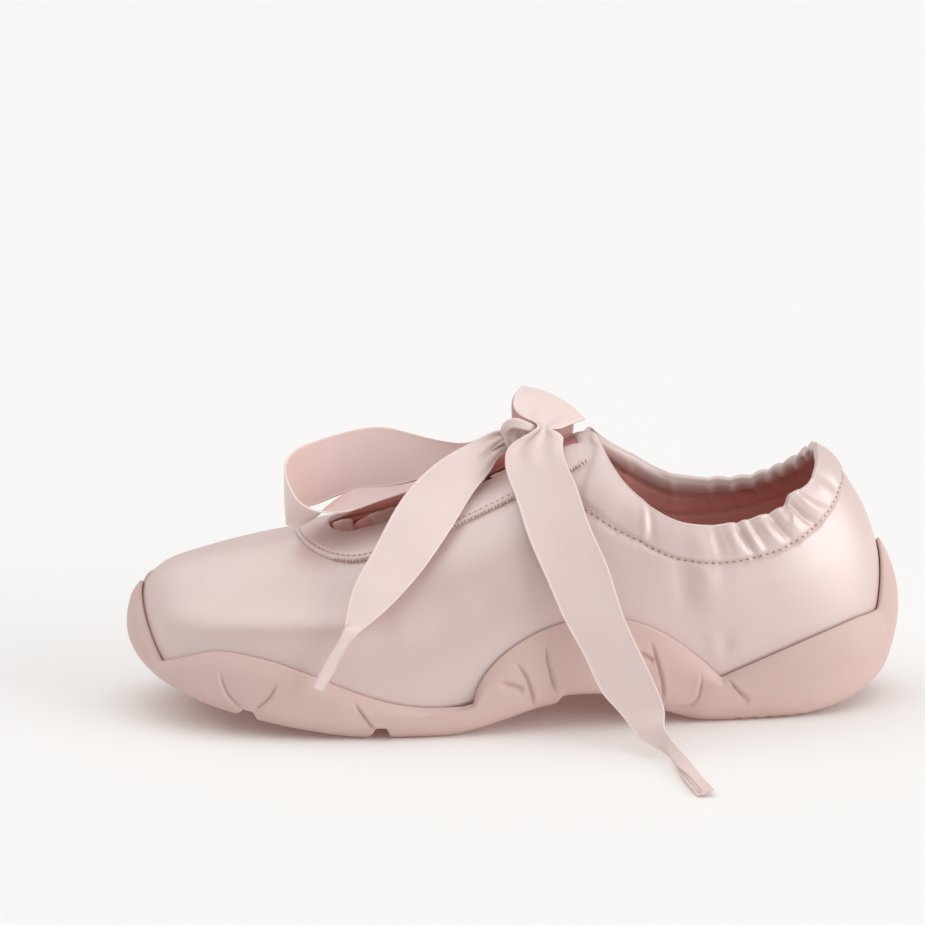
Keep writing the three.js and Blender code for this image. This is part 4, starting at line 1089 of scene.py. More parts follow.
def gather_height(u, depth, seam):
    run = rim_run(u)[:, None]
    side = side_of(u)[:, None]
    height = np.zeros_like(depth)
    for table, sign in ((OUTER_GATHERS, 1), (INNER_GATHERS, -1)):
        for at, half, high, lean in table:
            wide = half * (1 + GATHER_WIDER * np.clip(depth / seam, 0, GATHER_WIDEST))
            signed = np.where(side == sign, run, -run)
            height += high * bell((signed - at + lean * depth) / wide)
    keep = GATHER_RIM + (1 - GATHER_RIM) * smooth(depth, *GATHER_RISE)
    keep = keep * (1 - GATHER_LOSS * smooth(depth / seam, *GATHER_LOSS_AT))
    keep = keep * (1 - smooth(depth / seam, *GATHER_END))
    return height * keep * (1 - smooth(from_heel(u), *GATHER_LAST))[:, None]


def throat_gap(points):
    """Share of the sunk gap between the slot and the collar's front, where the lining shows."""
    x, y, z = points[..., 0], points[..., 1], points[..., 2]
    across = 1 - smooth(np.abs(y), *GAP_ACROSS)
    return across * smooth(-x, *GAP_START) * (1 - smooth(-x, *GAP_END)) * (z > GAP_LOWEST)


class SNEAKER_OT_upper(bpy.types.Operator):
    """Satin upper: gathered collar, creased sides and rose lining in one shell"""
    bl_idname = "sneaker.upper"
    bl_label = "Upper"

    def execute(self, context):
        sizes = context.scene.sneaker_sizes
        half = np.concatenate([np.arange(APEX * COLLAR_STEPS) / COLLAR_STEPS,
                               APEX + np.arange((LAST - APEX) * VAMP_STEPS + 1) / VAMP_STEPS])
        u = np.concatenate([half, LOOP - half[-2:0:-1]])
        outer, rim, inner = self.shell(u, sizes.gather_height)
        self.build(u, outer, rim, inner)
        return {"FINISHED"}

    def levels(self, u, low_rows, high_rows):
        """Heights of the rows: even up to the collar band, then close together."""
        less = CLOSE_LOSS * smooth(from_heel(u), APEX, APEX + CLOSE_RUN)
        band = CLOSE_BELOW + seam_depth(u) * (1 - less)
        tall = np.linalg.norm(surface(u, 1.0) - surface(u, 0.0), axis=-1)
        edge = 1 - np.minimum(CLOSE_MOST, band / tall) * CLOSE_USE
        low = np.linspace(0, 1, low_rows, endpoint=False)
        high = np.linspace(0, 1, high_rows)
        return np.concatenate([low[None, :] * edge[:, None],
                               edge[:, None] + high[None, :] * (1 - edge[:, None])], 1)

    def layer(self, u, rows, gather):
        """Bare surface in rows: points, normals, depth below the rim, gathers and soft shapes."""
        t = self.levels(u, *rows)
        skin, out = surface(u[:, None], t), normal(u[:, None], t)
        depth = depth_below(skin)
        folds = gather * gather_height(u, depth, seam_depth(u)[:, None])
        return skin, out, depth, folds, crease_height(skin) - GAP_DEPTH * throat_gap(skin)

    def shell(self, u, gather):
        """Outer skin, rounded rim, and inner skin from the rim down."""
        skin, out, depth, folds, soft = self.layer(u, OUTER_ROWS, gather)
        seam = seam_depth(u)[:, None]
        collar = (1 - smooth(from_heel(u), *COLLAR_END))[:, None]
        in_band = 1 - smooth(depth, seam - STEP_ABOVE, seam + STEP_BELOW)
        puff = PUFF * in_band + PUFF * np.sin(np.pi * np.clip(depth / seam, 0, 1)) ** PUFF_ROUND
        pull = PULL_HEEL + PULL_MORE * smooth(from_heel(u), *PULL_FROM)[:, None]
        pull_wide = PULL_WIDE + PULL_GROW * np.maximum(0, seam - PULL_USUAL)
        pinch = -pull * np.exp(-((depth - seam) / pull_wide) ** 2)
        run = rim_run(u)[:, None]
        wave = np.sin(2 * np.pi * run / PUCKER_LONG) \
            + np.sin(2 * np.pi * run / PUCKER_SHORT + PUCKER_SHIFT * side_of(u)[:, None])
        pucker = PUCKER * wave * np.exp(-((depth - seam) / PUCKER_WIDE) ** 2)
        lift = collar * (puff + pinch + pucker) + folds + soft
        outer = skin + out * lift[..., None]
        far_side = (side_of(u) < 0) & (from_heel(u) < APEX)
        raise_ = RIM_GATHER * folds[:, -1] - RIM_DROP * collar[:, 0]
        raise_ = raise_ + np.where(far_side, np.interp(from_heel(u), INNER_RIM_AT, INNER_RIM_LIFT),
                                   np.interp(run[:, 0], OUTER_RIM_AT, OUTER_RIM_LIFT))
        outer[..., 2] += raise_[:, None] * (1 - smooth(depth, 0, RIM_DEPTH))
        skin, out, depth_in, folds, soft = self.layer(u, INNER_ROWS, gather)
        roll = -ROLL_HIGH * np.sin(np.pi * np.clip(depth_in / ROLL_DEPTH, 0, 1)) ** ROLL_ROUND
        nip = NIP * np.exp(-((depth_in - ROLL_DEPTH) / NIP_WIDE) ** 2)
        sewn = SEWN_IN * np.exp(-((depth_in - seam) / SEWN_WIDE) ** 2)
        lift = -WALL + collar * (roll + nip + sewn) + FOLDS_IN * folds + soft
        inner = skin + out * lift[..., None]
        inner[..., 2] += raise_[:, None] * (1 - smooth(depth_in, 0, RIM_DEPTH))
        arc = np.linspace(0, np.pi, RIM_ARC)[1:-1]
        a, b = outer[:, -1], inner[:, -1]
        middle, half = (a + b) / 2, (a - b) / 2
        crown = np.linalg.norm(half, axis=1, keepdims=True) * np.array([0, 0, RIM_ROUND])
        rim = middle[:, None] + half[:, None] * np.cos(arc)[None, :, None] \
            + crown[:, None] * np.sin(arc)[None, :, None]
        self.inner_depth = depth_in
        return outer, rim, inner[:, ::-1]

    def build(self, u, outer, rim, inner):
        rows = (outer.shape[1], rim.shape[1], inner.shape[1])
        points = np.concatenate([outer, rim, inner], 1)
        count = points.shape[1]
        index = numbered(points)
        top, under = rows[0] - 1, rows[0] + rows[1]
        columns = len(u)
        for i in np.nonzero(is_vamp(u) & (u <= LAST))[0]:
            for row in (top, under):
                index[(columns - i) % columns, row] = index[i, row]
        middle = (u + np.append(u[1:], LOOP)) / 2
        vamp = is_vamp(middle)
        faces, kinds = [], []
        wrapped = np.concatenate([index, index[:, :1]], 1)
        roll = self.inner_depth[:, ::-1]
        for j in range(count):
            ring = np.stack([wrapped[:, j], wrapped[:, j + 1],
                             np.roll(wrapped[:, j + 1], -1), np.roll(wrapped[:, j], -1)], -1)
            keep = ~vamp if top <= j < under else np.ones(columns, bool)
            made = ring[keep]
            if j < under:
                kind = np.zeros(len(made), int)
            elif j < count - 1:
                kind = (roll[:, min(j - under, rows[2] - 1)] > ROLL_DEPTH)[keep].astype(int)
                kind = np.where(vamp[keep], 1, kind)
            else:
                kind = np.ones(len(made), int)
            faces.append(made)
            kinds.append(kind)
        faces, kinds = np.concatenate(faces), np.concatenate(kinds)
        kinds = np.where(throat_gap(points).reshape(-1)[faces].min(1) > GAP_LINED, 1, kinds)
        whole, kept = tidy_faces(faces, kinds)
        piece = new_piece("upper_satin", points, whole,
                          [material_of("blush_satin"), material_of("rose_lining")],
                          face_material=kept)
        weld(piece)
        self.cut_slot(piece)
        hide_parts("upper")

    def cut_slot(self, piece):
        """Cuts the throat slot through the shell with an upright oval."""
        count = CUTTER_COUNT
        outline = oval_points(SLOT, count, CUTTER_MORE)
        ring = np.concatenate([np.column_stack([outline, np.full(count, z)]) for z in CUTTER_Z])
        faces = [list(range(count - 1, -1, -1)), list(range(count, 2 * count))]
        faces += [[k, (k + 1) % count, count + (k + 1) % count, count + k] for k in range(count)]
        mesh = bpy.data.meshes.new("slot_cutter")
        mesh.from_pydata(to_frame(ring).tolist(), [], faces)
        for material in piece.data.materials:
            mesh.materials.append(material)
        mesh.polygons.foreach_set("material_index", np.ones(len(faces), np.int32))
        cutter = bpy.data.objects.new("slot_cutter", mesh)
        bpy.context.scene.collection.objects.link(cutter)
        cut = piece.modifiers.new("slot", "BOOLEAN")
        cut.operation, cut.solver, cut.object = "DIFFERENCE", "MANIFOLD", cutter
        graph = bpy.context.evaluated_depsgraph_get()
        done = bpy.data.meshes.new_from_object(piece.evaluated_get(graph), depsgraph=graph)
        piece.modifiers.clear()
        before, after = len(piece.data.polygons), len(done.polygons)
        piece.data = done
        bpy.data.objects.remove(cutter)
        if not CUT_FACES[0] * before < after < CUT_FACES[1] * before:
            raise RuntimeError(f"the throat slot was not cut: {before} faces became {after}")
        done.polygons.foreach_set("use_smooth", np.ones(len(done.polygons), bool))


# Throat

def oval_points(oval, count, grow=0.0):
    """Outline of a tapered oval in plan, from the middle of its front end round the outer side."""
    (fx, fy, fr), (bx, by, br) = oval["front"], oval["back"]
    run = fx - bx
    tilt, lean = math.asin((fr - br) / run), math.atan2(fy - by, run)
    turn = math.pi / 2 + tilt
    arcs = (
        (oval["front"], np.linspace(0, turn, 60)),
        (oval["back"], np.linspace(turn, 2 * math.pi - turn, 120)),
        (oval["front"], np.linspace(-turn, 0, 60)[:-1]),
    )
    fine = [
        (x + (radius + grow) * math.cos(lean + angle), y + (radius + grow) * math.sin(lean + angle))
        for (x, y, radius), angles in arcs for angle in angles
    ]
    fine = np.array(fine + fine[:1])
    run = run_along(fine)
    at = np.linspace(0, run[-1], count, endpoint=False)
    return np.stack([np.interp(at, run, fine[:, 0]), np.interp(at, run, fine[:, 1])], -1)


VAMP_TREE = []
# Mesh that the throat pieces are laid on: steps per section, rows and the level they start at
TREE_STEPS, TREE_ROWS, TREE_FROM, CAST_HEIGHT = 20, 90, 0.25, 200


def on_vamp(plan):
    """Points and normals of the bare vamp under plan points x, y."""
    if not VAMP_TREE:
        u = np.arange(LOOP * TREE_STEPS + 1) / TREE_STEPS
        points = surface(u[:, None], np.linspace(TREE_FROM, 1, TREE_ROWS)[None, :])
        quads = grid_quads(numbered(points))
        VAMP_TREE.append(BVHTree.FromPolygons(points.reshape(-1, 3).tolist(), quads.tolist()))
    flat = np.asarray(plan, float).reshape(-1, 2)
    points, normals = np.zeros((len(flat), 3)), np.zeros((len(flat), 3))
    for k, (x, y) in enumerate(flat):
        start = Vector((x, y, CAST_HEIGHT))
        place, out, _, _ = VAMP_TREE[0].ray_cast(start, Vector((0, 0, -1)))
        if place is None:
            raise RuntimeError(f"no vamp under {x:.1f}, {y:.1f}")
        points[k], normals[k] = place, out if out.z > 0 else -out
    return points.reshape(*np.shape(plan)[:-1], 3), normals.reshape(*np.shape(plan)[:-1], 3)


def eased_normals(normals, passes=6):
    """Normals smoothed along the rows of a grid."""
    for _ in range(passes):
        normals = unit(normals + 0.5 * (np.roll(normals, 1, 0) + np.roll(normals, -1, 0)))
    return normals


def slot_swell(plan):
    """Share of the swell into the slot, at plan points."""
    return bell((plan[..., 1] - SWELL_Y) / SWELL_HALF) * smooth(plan[..., 0], *SWELL_FROM)


def quarter_round(t):
    return np.sqrt(np.clip(1 - np.clip(t, 0, 1) ** 2, 0, 1))


# Overlay: points round it, gap at the hole, underside over the vamp, rows by share of its width
EYESTAY_COUNT, HOLE_MORE, EYESTAY_UNDER = 260, 0.5, 0.1
EYESTAY_SHARES = np.concatenate([[0.0, 0.012, 0.04, 0.09], np.linspace(0.16, 0.84, 12),
                                 [0.875, 0.90, 0.925, 0.95, 0.972, 0.988, 0.997, 1.0]])
# Its section, by share: bead at the hole, sewn dip, rounds of both edges; mm to rise at the back
BEAD, BEAD_SHARE, BEAD_WIDE = 0.5, 0.05, 0.06
DOT_DIP, DOT_SHARE, DOT_WIDE = 0.4, 0.885, 0.022
EDGE_SHARE, EDGE_ROUND, HOLE_ROUND, FLUSH_RUN = 0.93, 0.07, 0.03, 14
# Hole's far edge is pulled up, its near edge dips: height, power, x where the pull starts and ends,
# y where both start
FAR_LIFT, FAR_POWER, FAR_START, FAR_END = 3.0, 1.5, (-10, 4), (46, 60)
NEAR_DIP, NEAR_POWER, OFF_MIDDLE = 1.0, 2, (1, 8)
# Stitches: pitch; length, width and height of one; how far they sink or stand out
DOT_PITCH, DOT_SIZE, DOT_SINK, DOT_START = 1.9, (1.05, 0.5, 0.55), 0.3, 12
OVERLOCK_PITCH, OVERLOCK_SIZE, OVERLOCK_SLANTS = 1.15, (1.7, 0.5, 0.6), (0.55, -0.25)
# Overlock: its share, least y, x range and height on the edge; then its end at the collar
OVERLOCK_SHARE, OVERLOCK_Y, OVERLOCK_X, OVERLOCK_HIGH = 0.985, 12, (-14, 62), 0.55
OVERLOCK_END, OVERLOCK_END_HIGH = ((-19.0, 19.2), (-22.5, 18.2), (-26.0, 17.0)), 0.9


def eyestay_ring(share):
    """Plan ring between the slot (share 0) and the overlay's outer edge (share 1)."""
    hole = oval_points(SLOT, EYESTAY_COUNT, HOLE_MORE)
    edge = oval_points(EYESTAY, EYESTAY_COUNT)
    edge[:, 0] = np.maximum(edge[:, 0], EYESTAY_END)
    return hole + (edge - hole) * share


class SNEAKER_OT_eyestay(bpy.types.Operator):
    """Sewn overlay round the throat slot, with its two rows of stitches"""
    bl_idname = "sneaker.eyestay"
    bl_label = "Eyestay"

    def execute(self, context):
        plan = np.stack([eyestay_ring(share) for share in EYESTAY_SHARES], 1)
        points, out = on_vamp(plan)
        out = eased_normals(out)
        gap = throat_gap(points)
        high = self.heights(plan, EYESTAY_SHARES) - GAP_DEPTH * gap
        top = points + out * high[..., None]
        ends = [-1, 0]
        sink = EYESTAY_UNDER - GAP_DEPTH * gap[:, ends, None]
        grid = np.concatenate([top, points[:, ends] + out[:, ends] * sink], 1)
        faces = grid_quads(numbered(grid), close_rows=True, close_columns=True)
        inside = np.tile(np.arange(grid.shape[1]) >= grid.shape[1] - len(ends), grid.shape[0])
        sunk = np.concatenate([gap, gap[:, ends]], 1).reshape(-1)[faces].min(1) > GAP_LINED
        kept, kinds = tidy_faces(faces, inside | sunk)
        finishes = [material_of("blush_satin"), material_of("rose_lining")]
        piece = new_piece("eyestay_satin", grid, kept, finishes, face_material=kinds)
        weld(piece)
        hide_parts("eyestay")
        self.dots()
        self.overlock()
        return {"FINISHED"}

    def heights(self, plan, shares):
        """Height over the vamp: rolled hole edge, sewn dip, rounded outer edge, flush at the back.
        The far edge of the hole stands up a little where the ribbon pulls it."""
        x, y = plan[..., 0], plan[..., 1]
        bead = BEAD * np.exp(-((shares - BEAD_SHARE) / BEAD_WIDE) ** 2)
        sewn = -DOT_DIP * np.exp(-((shares - DOT_SHARE) / DOT_WIDE) ** 2)
        edge = quarter_round((shares - EDGE_SHARE) / EDGE_ROUND)
        start = quarter_round((HOLE_ROUND - shares) / HOLE_ROUND)
        flush = smooth(x, EYESTAY_END, EYESTAY_END + FLUSH_RUN)
        pulled = FAR_LIFT * (1 - shares) ** FAR_POWER * smooth(-y, *OFF_MIDDLE)
        pulled = pulled * smooth(x, *FAR_START) * (1 - smooth(x, *FAR_END))
        low = NEAR_DIP * (1 - shares) ** NEAR_POWER * smooth(y, *OFF_MIDDLE)
        return EYESTAY_SEAT + (EYESTAY_RISE + bead + sewn - low) * edge * start * flush + pulled

    def sewn_line(self, plan, pitch):
        """Even places along a plan line: points on the vamp, normals and directions."""
        run = run_along(plan)
        at = np.arange(0.5 * pitch, run[-1], pitch)
        points, out = on_vamp(np.stack([np.interp(at, run, plan[:, k]) for k in (0, 1)], -1))
        out = unit(out + np.roll(out, 1, 0) + np.roll(out, -1, 0))
        along = np.gradient(points, axis=0)
        return points, out, unit(along - out * (along * out).sum(-1, keepdims=True))

    def dots(self):
        """Fine row of stitches inside the edge."""
        ring = eyestay_ring(DOT_SHARE)
        points, out, along = self.sewn_line(np.concatenate([ring, ring[:1]]), DOT_PITCH)
        keep = points[:, 0] > EYESTAY_END + DOT_START
        high = EYESTAY_SEAT + EYESTAY_RISE - DOT_SINK
        made, faces = stitch_mesh((points + out * high)[keep], along[keep], out[keep], *DOT_SIZE)
        new_piece("eyestay_stitches", made, faces, [material_of("pale_thread")])

    def overlock(self):
        """Slanted stitches over the near edge, and the bar that ends them at the collar."""
        edge = eyestay_ring(OVERLOCK_SHARE)
        x, y = edge[:, 0], edge[:, 1]
        edge = edge[(y > OVERLOCK_Y) & (x > OVERLOCK_X[0]) & (x < OVERLOCK_X[1])]
        made, faces = [], []
        for line, high in ((edge, EYESTAY_SEAT + OVERLOCK_HIGH),
                           (np.array(OVERLOCK_END), OVERLOCK_END_HIGH)):
            points, out, along = self.sewn_line(line, OVERLOCK_PITCH)
            slant = np.where(np.arange(len(points)) % 2, *OVERLOCK_SLANTS)[:, None]
            across = unit(np.cross(out, along) + slant * along)
            more, quads = stitch_mesh(points + out * high, across, out, *OVERLOCK_SIZE)
            base = sum(len(m) for m in made)
            made.append(more)
            faces += [[c + base for c in f] for f in quads]
        new_piece("eyestay_overlock", np.concatenate(made), faces,
                  [material_of("seam_thread")])


class SNEAKER_OT_tongue(bpy.types.Operator):
    """Padded tongue under the throat slot"""
    bl_idname = "sneaker.tongue"
    bl_label = "Tongue"

    def execute(self, context):
        outline = oval_points(TONGUE, 120)
        (front_x, front_y, _), (back_x, back_y, _) = TONGUE["front"], TONGUE["back"]
        spine = np.stack([np.clip(outline[:, 0], back_x, front_x),
                          np.interp(outline[:, 0], (back_x, front_x), (back_y, front_y))], -1)
        shares = np.linspace(0, 1, 18)
        plan = spine[:, None] + (outline - spine)[:, None] * shares[None, :, None]
        points, out = on_vamp(plan)
        out = eased_normals(out)
        below = LACE_DEPTH + LACE_THICK + TONGUE_GAP
        half = TONGUE_THICK / 2
        round_ = half * np.sqrt(np.clip(1 - shares**10, 0, 1))
        swell = TONGUE_SWELL * slot_swell(plan) * (1 - smooth(plan[..., 0], *TONGUE_SWELL_END))
        upper = points + out * (swell - below - half + round_)[..., None]
        lower = points + out * (swell - below - half - round_)[..., None]
        grid = np.concatenate([upper, lower[:, ::-1]], 1)
        piece = new_piece("tongue_padded", grid, ring_faces(grid),
                          [material_of("tongue_cloth")])
        weld(piece, 2e-5)
        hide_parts("tongue")
        return {"FINISHED"}


class SNEAKER_OT_lace(bpy.types.Operator):
    """Ribbon bars crossing under the slot and the ends that rise to the knot"""
    bl_idname = "sneaker.lace"
    bl_label = "Lace"

    def execute(self, context):
        # The lace carries the painted rosy shade of the slot in its tone.
        material = material_of("lace_ribbon")
        points, faces, uvs = [], [], []
        for k, (outer_x, inner_x, width) in enumerate(LACE_BARS):
            grid, uv = self.bar(outer_x, inner_x, width, BAR_OVER if k % 2 else -BAR_OVER)
            self.add(points, faces, uvs, grid, uv, BAR_THICK)
        for side in (-1, 1):
            grid, uv = self.riser(side)
            self.add(points, faces, uvs, grid, uv, RISER_THICK)
        piece = new_piece("lace_ribbon", np.concatenate(points), faces, [material],
                          np.concatenate(uvs))
        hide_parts("lace")
        return {"FINISHED"}

    def add(self, points, faces, uvs, grid, uv, thick):
        base = sum(len(p) for p in points)
        made, quads = sheet_mesh(grid, thick)
        points.append(made)
        faces += (quads + base).tolist()
        uvs.append(np.concatenate([uv.reshape(-1, 2)] * 2))

    def bar(self, outer_x, inner_x, width, lift):
        f, v = np.linspace(0, 1, 34), np.linspace(-1, 1, 13)
        start, end = np.array([outer_x, LACE_OUT]), np.array([inner_x, -LACE_IN])
        step = end - start
        aside = np.array([-step[1], step[0]]) / np.linalg.norm(step)
        plan = start + f[:, None, None] * step + v[None, :, None] * aside * width / 2
        points, out = on_vamp(plan)
        out = eased_normals(out, 2)
        fold = BAR_RIPPLE * np.cos(3 * np.pi * v)[None, :] + lift * np.sin(np.pi * f)[:, None]
        fold = fold + LACE_BULGE * slot_swell(plan) * (1 - BAR_CROWN * v[None, :] ** 2)
        grid = points + out * (-LACE_DEPTH - LACE_THICK / 2 + fold)[..., None]
        return grid, weave_at((v / 2 + 0.5)[None, :], f[:, None] * 1.4)

    def riser(self, side):
        f, v = np.linspace(0, 1, 14), np.linspace(-1, 1, 9)
        low, high = (np.array(middle) + np.array(apart) * side
                     for middle, apart in (RISER_LOW, RISER_HIGH))
        line = low + f[:, None] * (high - low)
        wide = unit(np.array([0.95, 0.25 * side, 0.1]))
        thick = unit(np.cross(high - low, wide))
        bowed = RISER_BOW * side * (1 - v**2)
        grid = line[:, None] + v[None, :, None] * wide * RISER_HALF + bowed[None, :, None] * thick
        return grid, weave_at((v / 2 + 0.5)[None, :] * 0.8 + 0.1, f[:, None] * 0.5)


# Collar stitches

# Seam: sections where it ends, points along it, mm from which it is cast on the upper
SEAM_SPAN, SEAM_POINTS, CAST_FROM = 5.55, 900, 4
STITCH_SIZE, STITCH_PROUD = (1.15, 0.5, 0.55), 0.1


class SNEAKER_OT_stitches(bpy.types.Operator):
    """Stitches of the collar seam, outside and inside"""
    bl_idname = "sneaker.stitches"
    bl_label = "Collar stitches"

    def execute(self, context):
        pitch = context.scene.sneaker_sizes.stitch_pitch * 1000
        u = np.linspace(-SEAM_SPAN, SEAM_SPAN, SEAM_POINTS)
        shell = bpy.data.objects.get("upper_satin")
        if shell is None:
            raise RuntimeError("the upper comes before its stitches")
        tree = BVHTree.FromObject(shell, bpy.context.evaluated_depsgraph_get())
        for name, inside, colour in (
            ("collar_stitches", False, "seam_thread"), ("lining_stitches", True, "lining_thread"),
        ):
            line, out = self.seam(u, inside, tree)
            run = run_along(line)
            at = np.arange(pitch / 2, run[-1], pitch)
            centres = np.stack([np.interp(at, run, line[:, k]) for k in range(3)], -1)
            normals = unit(np.stack([np.interp(at, run, out[:, k]) for k in range(3)], -1))
            along = np.gradient(centres, axis=0)
            along = unit(along - normals * (along * normals).sum(-1, keepdims=True))
            centres = centres + normals * STITCH_PROUD
            made, faces = stitch_mesh(centres, along, normals, *STITCH_SIZE)
            new_piece(name, made, faces, [material_of(colour)])
        return {"FINISHED"}

    def seam(self, u, inside, tree):
        """Seam line on the finished shell."""
        t = np.linspace(0, 1, 400)
        skin = surface(u[:, None], t[None, :])
        depth = depth_below(skin)
        level = np.array([np.interp(-s, -d, t) for s, d in zip(seam_depth(u), depth)])
        out = normal(u, level)
        if inside:
            out = -out
        start = surface(u, level) + out * (WALL + CAST_FROM if inside else CAST_FROM)
        line = np.zeros_like(start)
        for k in range(len(u)):
            origin = Vector(to_frame(start[k]))
            place, _, _, _ = tree.ray_cast(origin, Vector(-out[k]))
            if place is None:
                raise RuntimeError("the collar seam missed the upper")
            line[k] = np.array(place) * 1000 - SHIFT
        return line, out


# Sole

LIP, SIDE_SWELL, HEEL_SWELL, TOE_SWELL = 1.3, 3.6, 6.2, 4.0
SIDE_ROUND, HEEL_ROUND, TOE_ROUND = 5.0, 10.0, 12.0
PLATE_GAP, INSOLE_THICK, SPINE_END = 0.3, 4.0, 108.0
BOTTOM = np.array([
    (-134, 14.5), (-128, 8.6), (-119, 4.0), (-108, 1.4), (-94, 0), (-72, 0), (-60, 1.2), (-48, 5.2),
    (-38, 9.4), (-28, 11.6), (-20, 11.8), (-15, 11.4), (-13, 9.3), (-6, 7.8), (4, 4.8), (18, 1.0),
    (28, 0), (44, 0), (58, 0.6), (72, 2.6), (86, 5.1), (100, 8.0), (112, 10.8), (122, 14.4),
    (134, 22.5),
], float)
# Wave edge, mm: crest, place along the shoe and how it falls away
WAVE_BASE, WAVE_BLEND, WAVE_FALL = 10.0, 1.6, 1.5
HEEL_BACK = {"crest": 54.2, "rate": 0.535, "power": 1.47}
HEEL_SIDE = {"from": -117.3, "to": -70.5, "high": 33.0, "low": 15.9, "power": 1.2}
TOE_EDGE = {"crest": 43.0, "rate": 0.212, "power": 1.42}
MID_WAVE = {1: (38.6, -24.2, 40.0, 0.0111), -1: (39.0, -14.0, 50.0, 0.0066)}
FORE_WAVE = {1: (27.9, 102.0, 74.0, 7.0, 18.5, 1.26), -1: (29.0, 86.0, 42.0, 7.5, 34.0, 1.3)}
# Notches across the sole: outer x, inner x, half width, height
NOTCHES = ((90.5, 99.5, 3.7, 3.5), (45.6, 60.0, 4.2, 4.3))
HEEL_GROOVES = tuple((-76.0 - 5.5 * k, 1.5, 0.9) for k in range(8))
# Lines pressed in the side wall: points x, z; the side that lies low (1 left of the line's run
# in x, z, -1 right of it); soft width
OUTER_GROOVES = (
    (((101.3, 24.3), (100.7, 19.7), (99, 15.3), (95.4, 11.2), (93, 9.4)), -1, 4.0),
    (((81.9, 21.4), (83.1, 18), (85.7, 14.1), (88.7, 11.2), (90.5, 9.4)), 1, 4.0),
    (((57, 14.2), (54.4, 10.5), (51.8, 6.6), (49.2, 3.4)), 1, 4.0),
    (((2.5, 26.3), (-0.3, 23.1), (-2.6, 19.2), (-3.7, 15.8), (-4.5, 12.3), (-4.1, 8.9)), 1, 5.0),
    (((7.9, 18.8), (3.3, 17.8), (-1.9, 15.3)), 1, 2.0),
    (((-9, 32.4), (-9.4, 26.2), (-10.5, 21.2), (-11.9, 16), (-13.1, 13.2)), 1, 6.0),
    (((-43.9, 32.2), (-45.8, 27.7), (-47.5, 22.1), (-48.9, 16.8), (-49.5, 12.2), (-49, 7.5)),
     1, 6.0),
    (((-40.7, 27.4), (-43.6, 25.3), (-46.4, 23.6)), 1, 2.0),
    (((-62, 19.6), (-62.6, 16), (-62.3, 11.8), (-61.2, 8.6), (-58.7, 6.3), (-55.6, 5.7),
      (-51.2, 6.1)), -1, 3.0),
    (((-71.4, 16), (-74.9, 11.9), (-77.6, 9.0), (-80.2, 6.9)), 1, 5.0),
)
INNER_GROOVES = (
    (((113, 24), (113.8, 19), (113.5, 14)), 1, 4.0),
    (((97, 25), (98.5, 18), (101, 12)), -1, 4.0),
    (((22, 26), (18.5, 22), (14, 17)), 1, 4.0),
    (((2, 33), (-4, 27), (-8, 20)), 1, 5.0),
    (((-42, 33), (-47, 29), (-52, 24), (-58, 16), (-62, 9)), 1, 5.0),
)
# Where the side lines need close columns: x ranges, outer and inner
CLOSE_COLUMNS = {1: ((40, 104), (-22, 11), (-86, -36)), -1: ((92, 117), (10, 26), (-66, 6))}
CLOSE_STEP, INNER_STEP_MORE, WIDE_STEP, STEP_EASE = 0.36, 0.12, 0.9, 6
# Wave's parts: sections that the heel's and the toe's crest span, x and half run of the blend
HEEL_SECTIONS, TOE_SECTIONS, BLEND_X, BLEND_HALF = 2, 3.5, 14, 26
# Rows of the section: bed, inside of the lip, its round, wall, turn to the underside, underside
BED_ROWS, INSIDE_ROWS = (0, 0.4, 0.8, 1), (0.25, 0.5, 0.75, 0.92, 1)
LIP_ROWS = (0.2, 0.4, 0.6, 0.8, 0.92)
WALL_ROWS, TURN_ROWS = np.linspace(0.99, 0.1, 42), np.linspace(0, 1, 11)
BETWEEN_ROWS, UNDER_ROWS = (0.33, 0.67), np.linspace(0, 1, 15)[1:]
# Lip's crown and its round, growth of the wall below it; turn: height by radius, least height,
# clearance to the bed; mm of the plain rim underneath
LIP_CROWN, LIP_ROUND, WALL_GROWTH = 0.45, 0.7, 1.5
TURN_TALL, TURN_LEAST, TURN_CLEAR, UNDER_RIM = 1.05, 1.2, 1.5, 9
# Easing of the turn: rows left below the lip, passes all round and at the toe, where the toe is
EASE_SKIP, EASE_PASSES, EASE_TOE_PASSES, EASE_TOE = 12, 16, 90, (0.1, 0.7)
# Pressed line: points, cut, its half width and more where it lies level, step and its sharp width,
# ridge beside it and its place, ends
LINE_POINTS, LINE_CUT, LINE_HALF, LINE_LEVEL, LINE_LEVEL_AT = 26, 0.8, 0.43, 0.4, (0.6, 1.0)
LINE_STEP, LINE_SHARP, LINE_RIDGE, LINE_RIDGE_AT = 0.4, 0.5, 0.1, 1.5
LINE_START, LINE_END, LINE_PAST = (0.0, 0.35), (0.80, 1.0), 1.5
# Notches: half width over which they slant, share of flat roof
NOTCH_SPAN, NOTCH_FLAT = 62, 0.35
# Tread: pitch, swing and length of its waves, edge of a groove; then its zones, the share at the
# heel and the plain rim
TREAD_PITCH, TREAD_SWING, TREAD_LONG, TREAD_EDGE = 8.0, 3.2, 30, (0.7, 1.6)
TREAD_FORE, TREAD_TOE, TREAD_HEEL = (2, 12), (108, 118), (-70, -60)
TREAD_HEEL_SHARE, TREAD_RIM = 0.6, (0.08, 0.16)


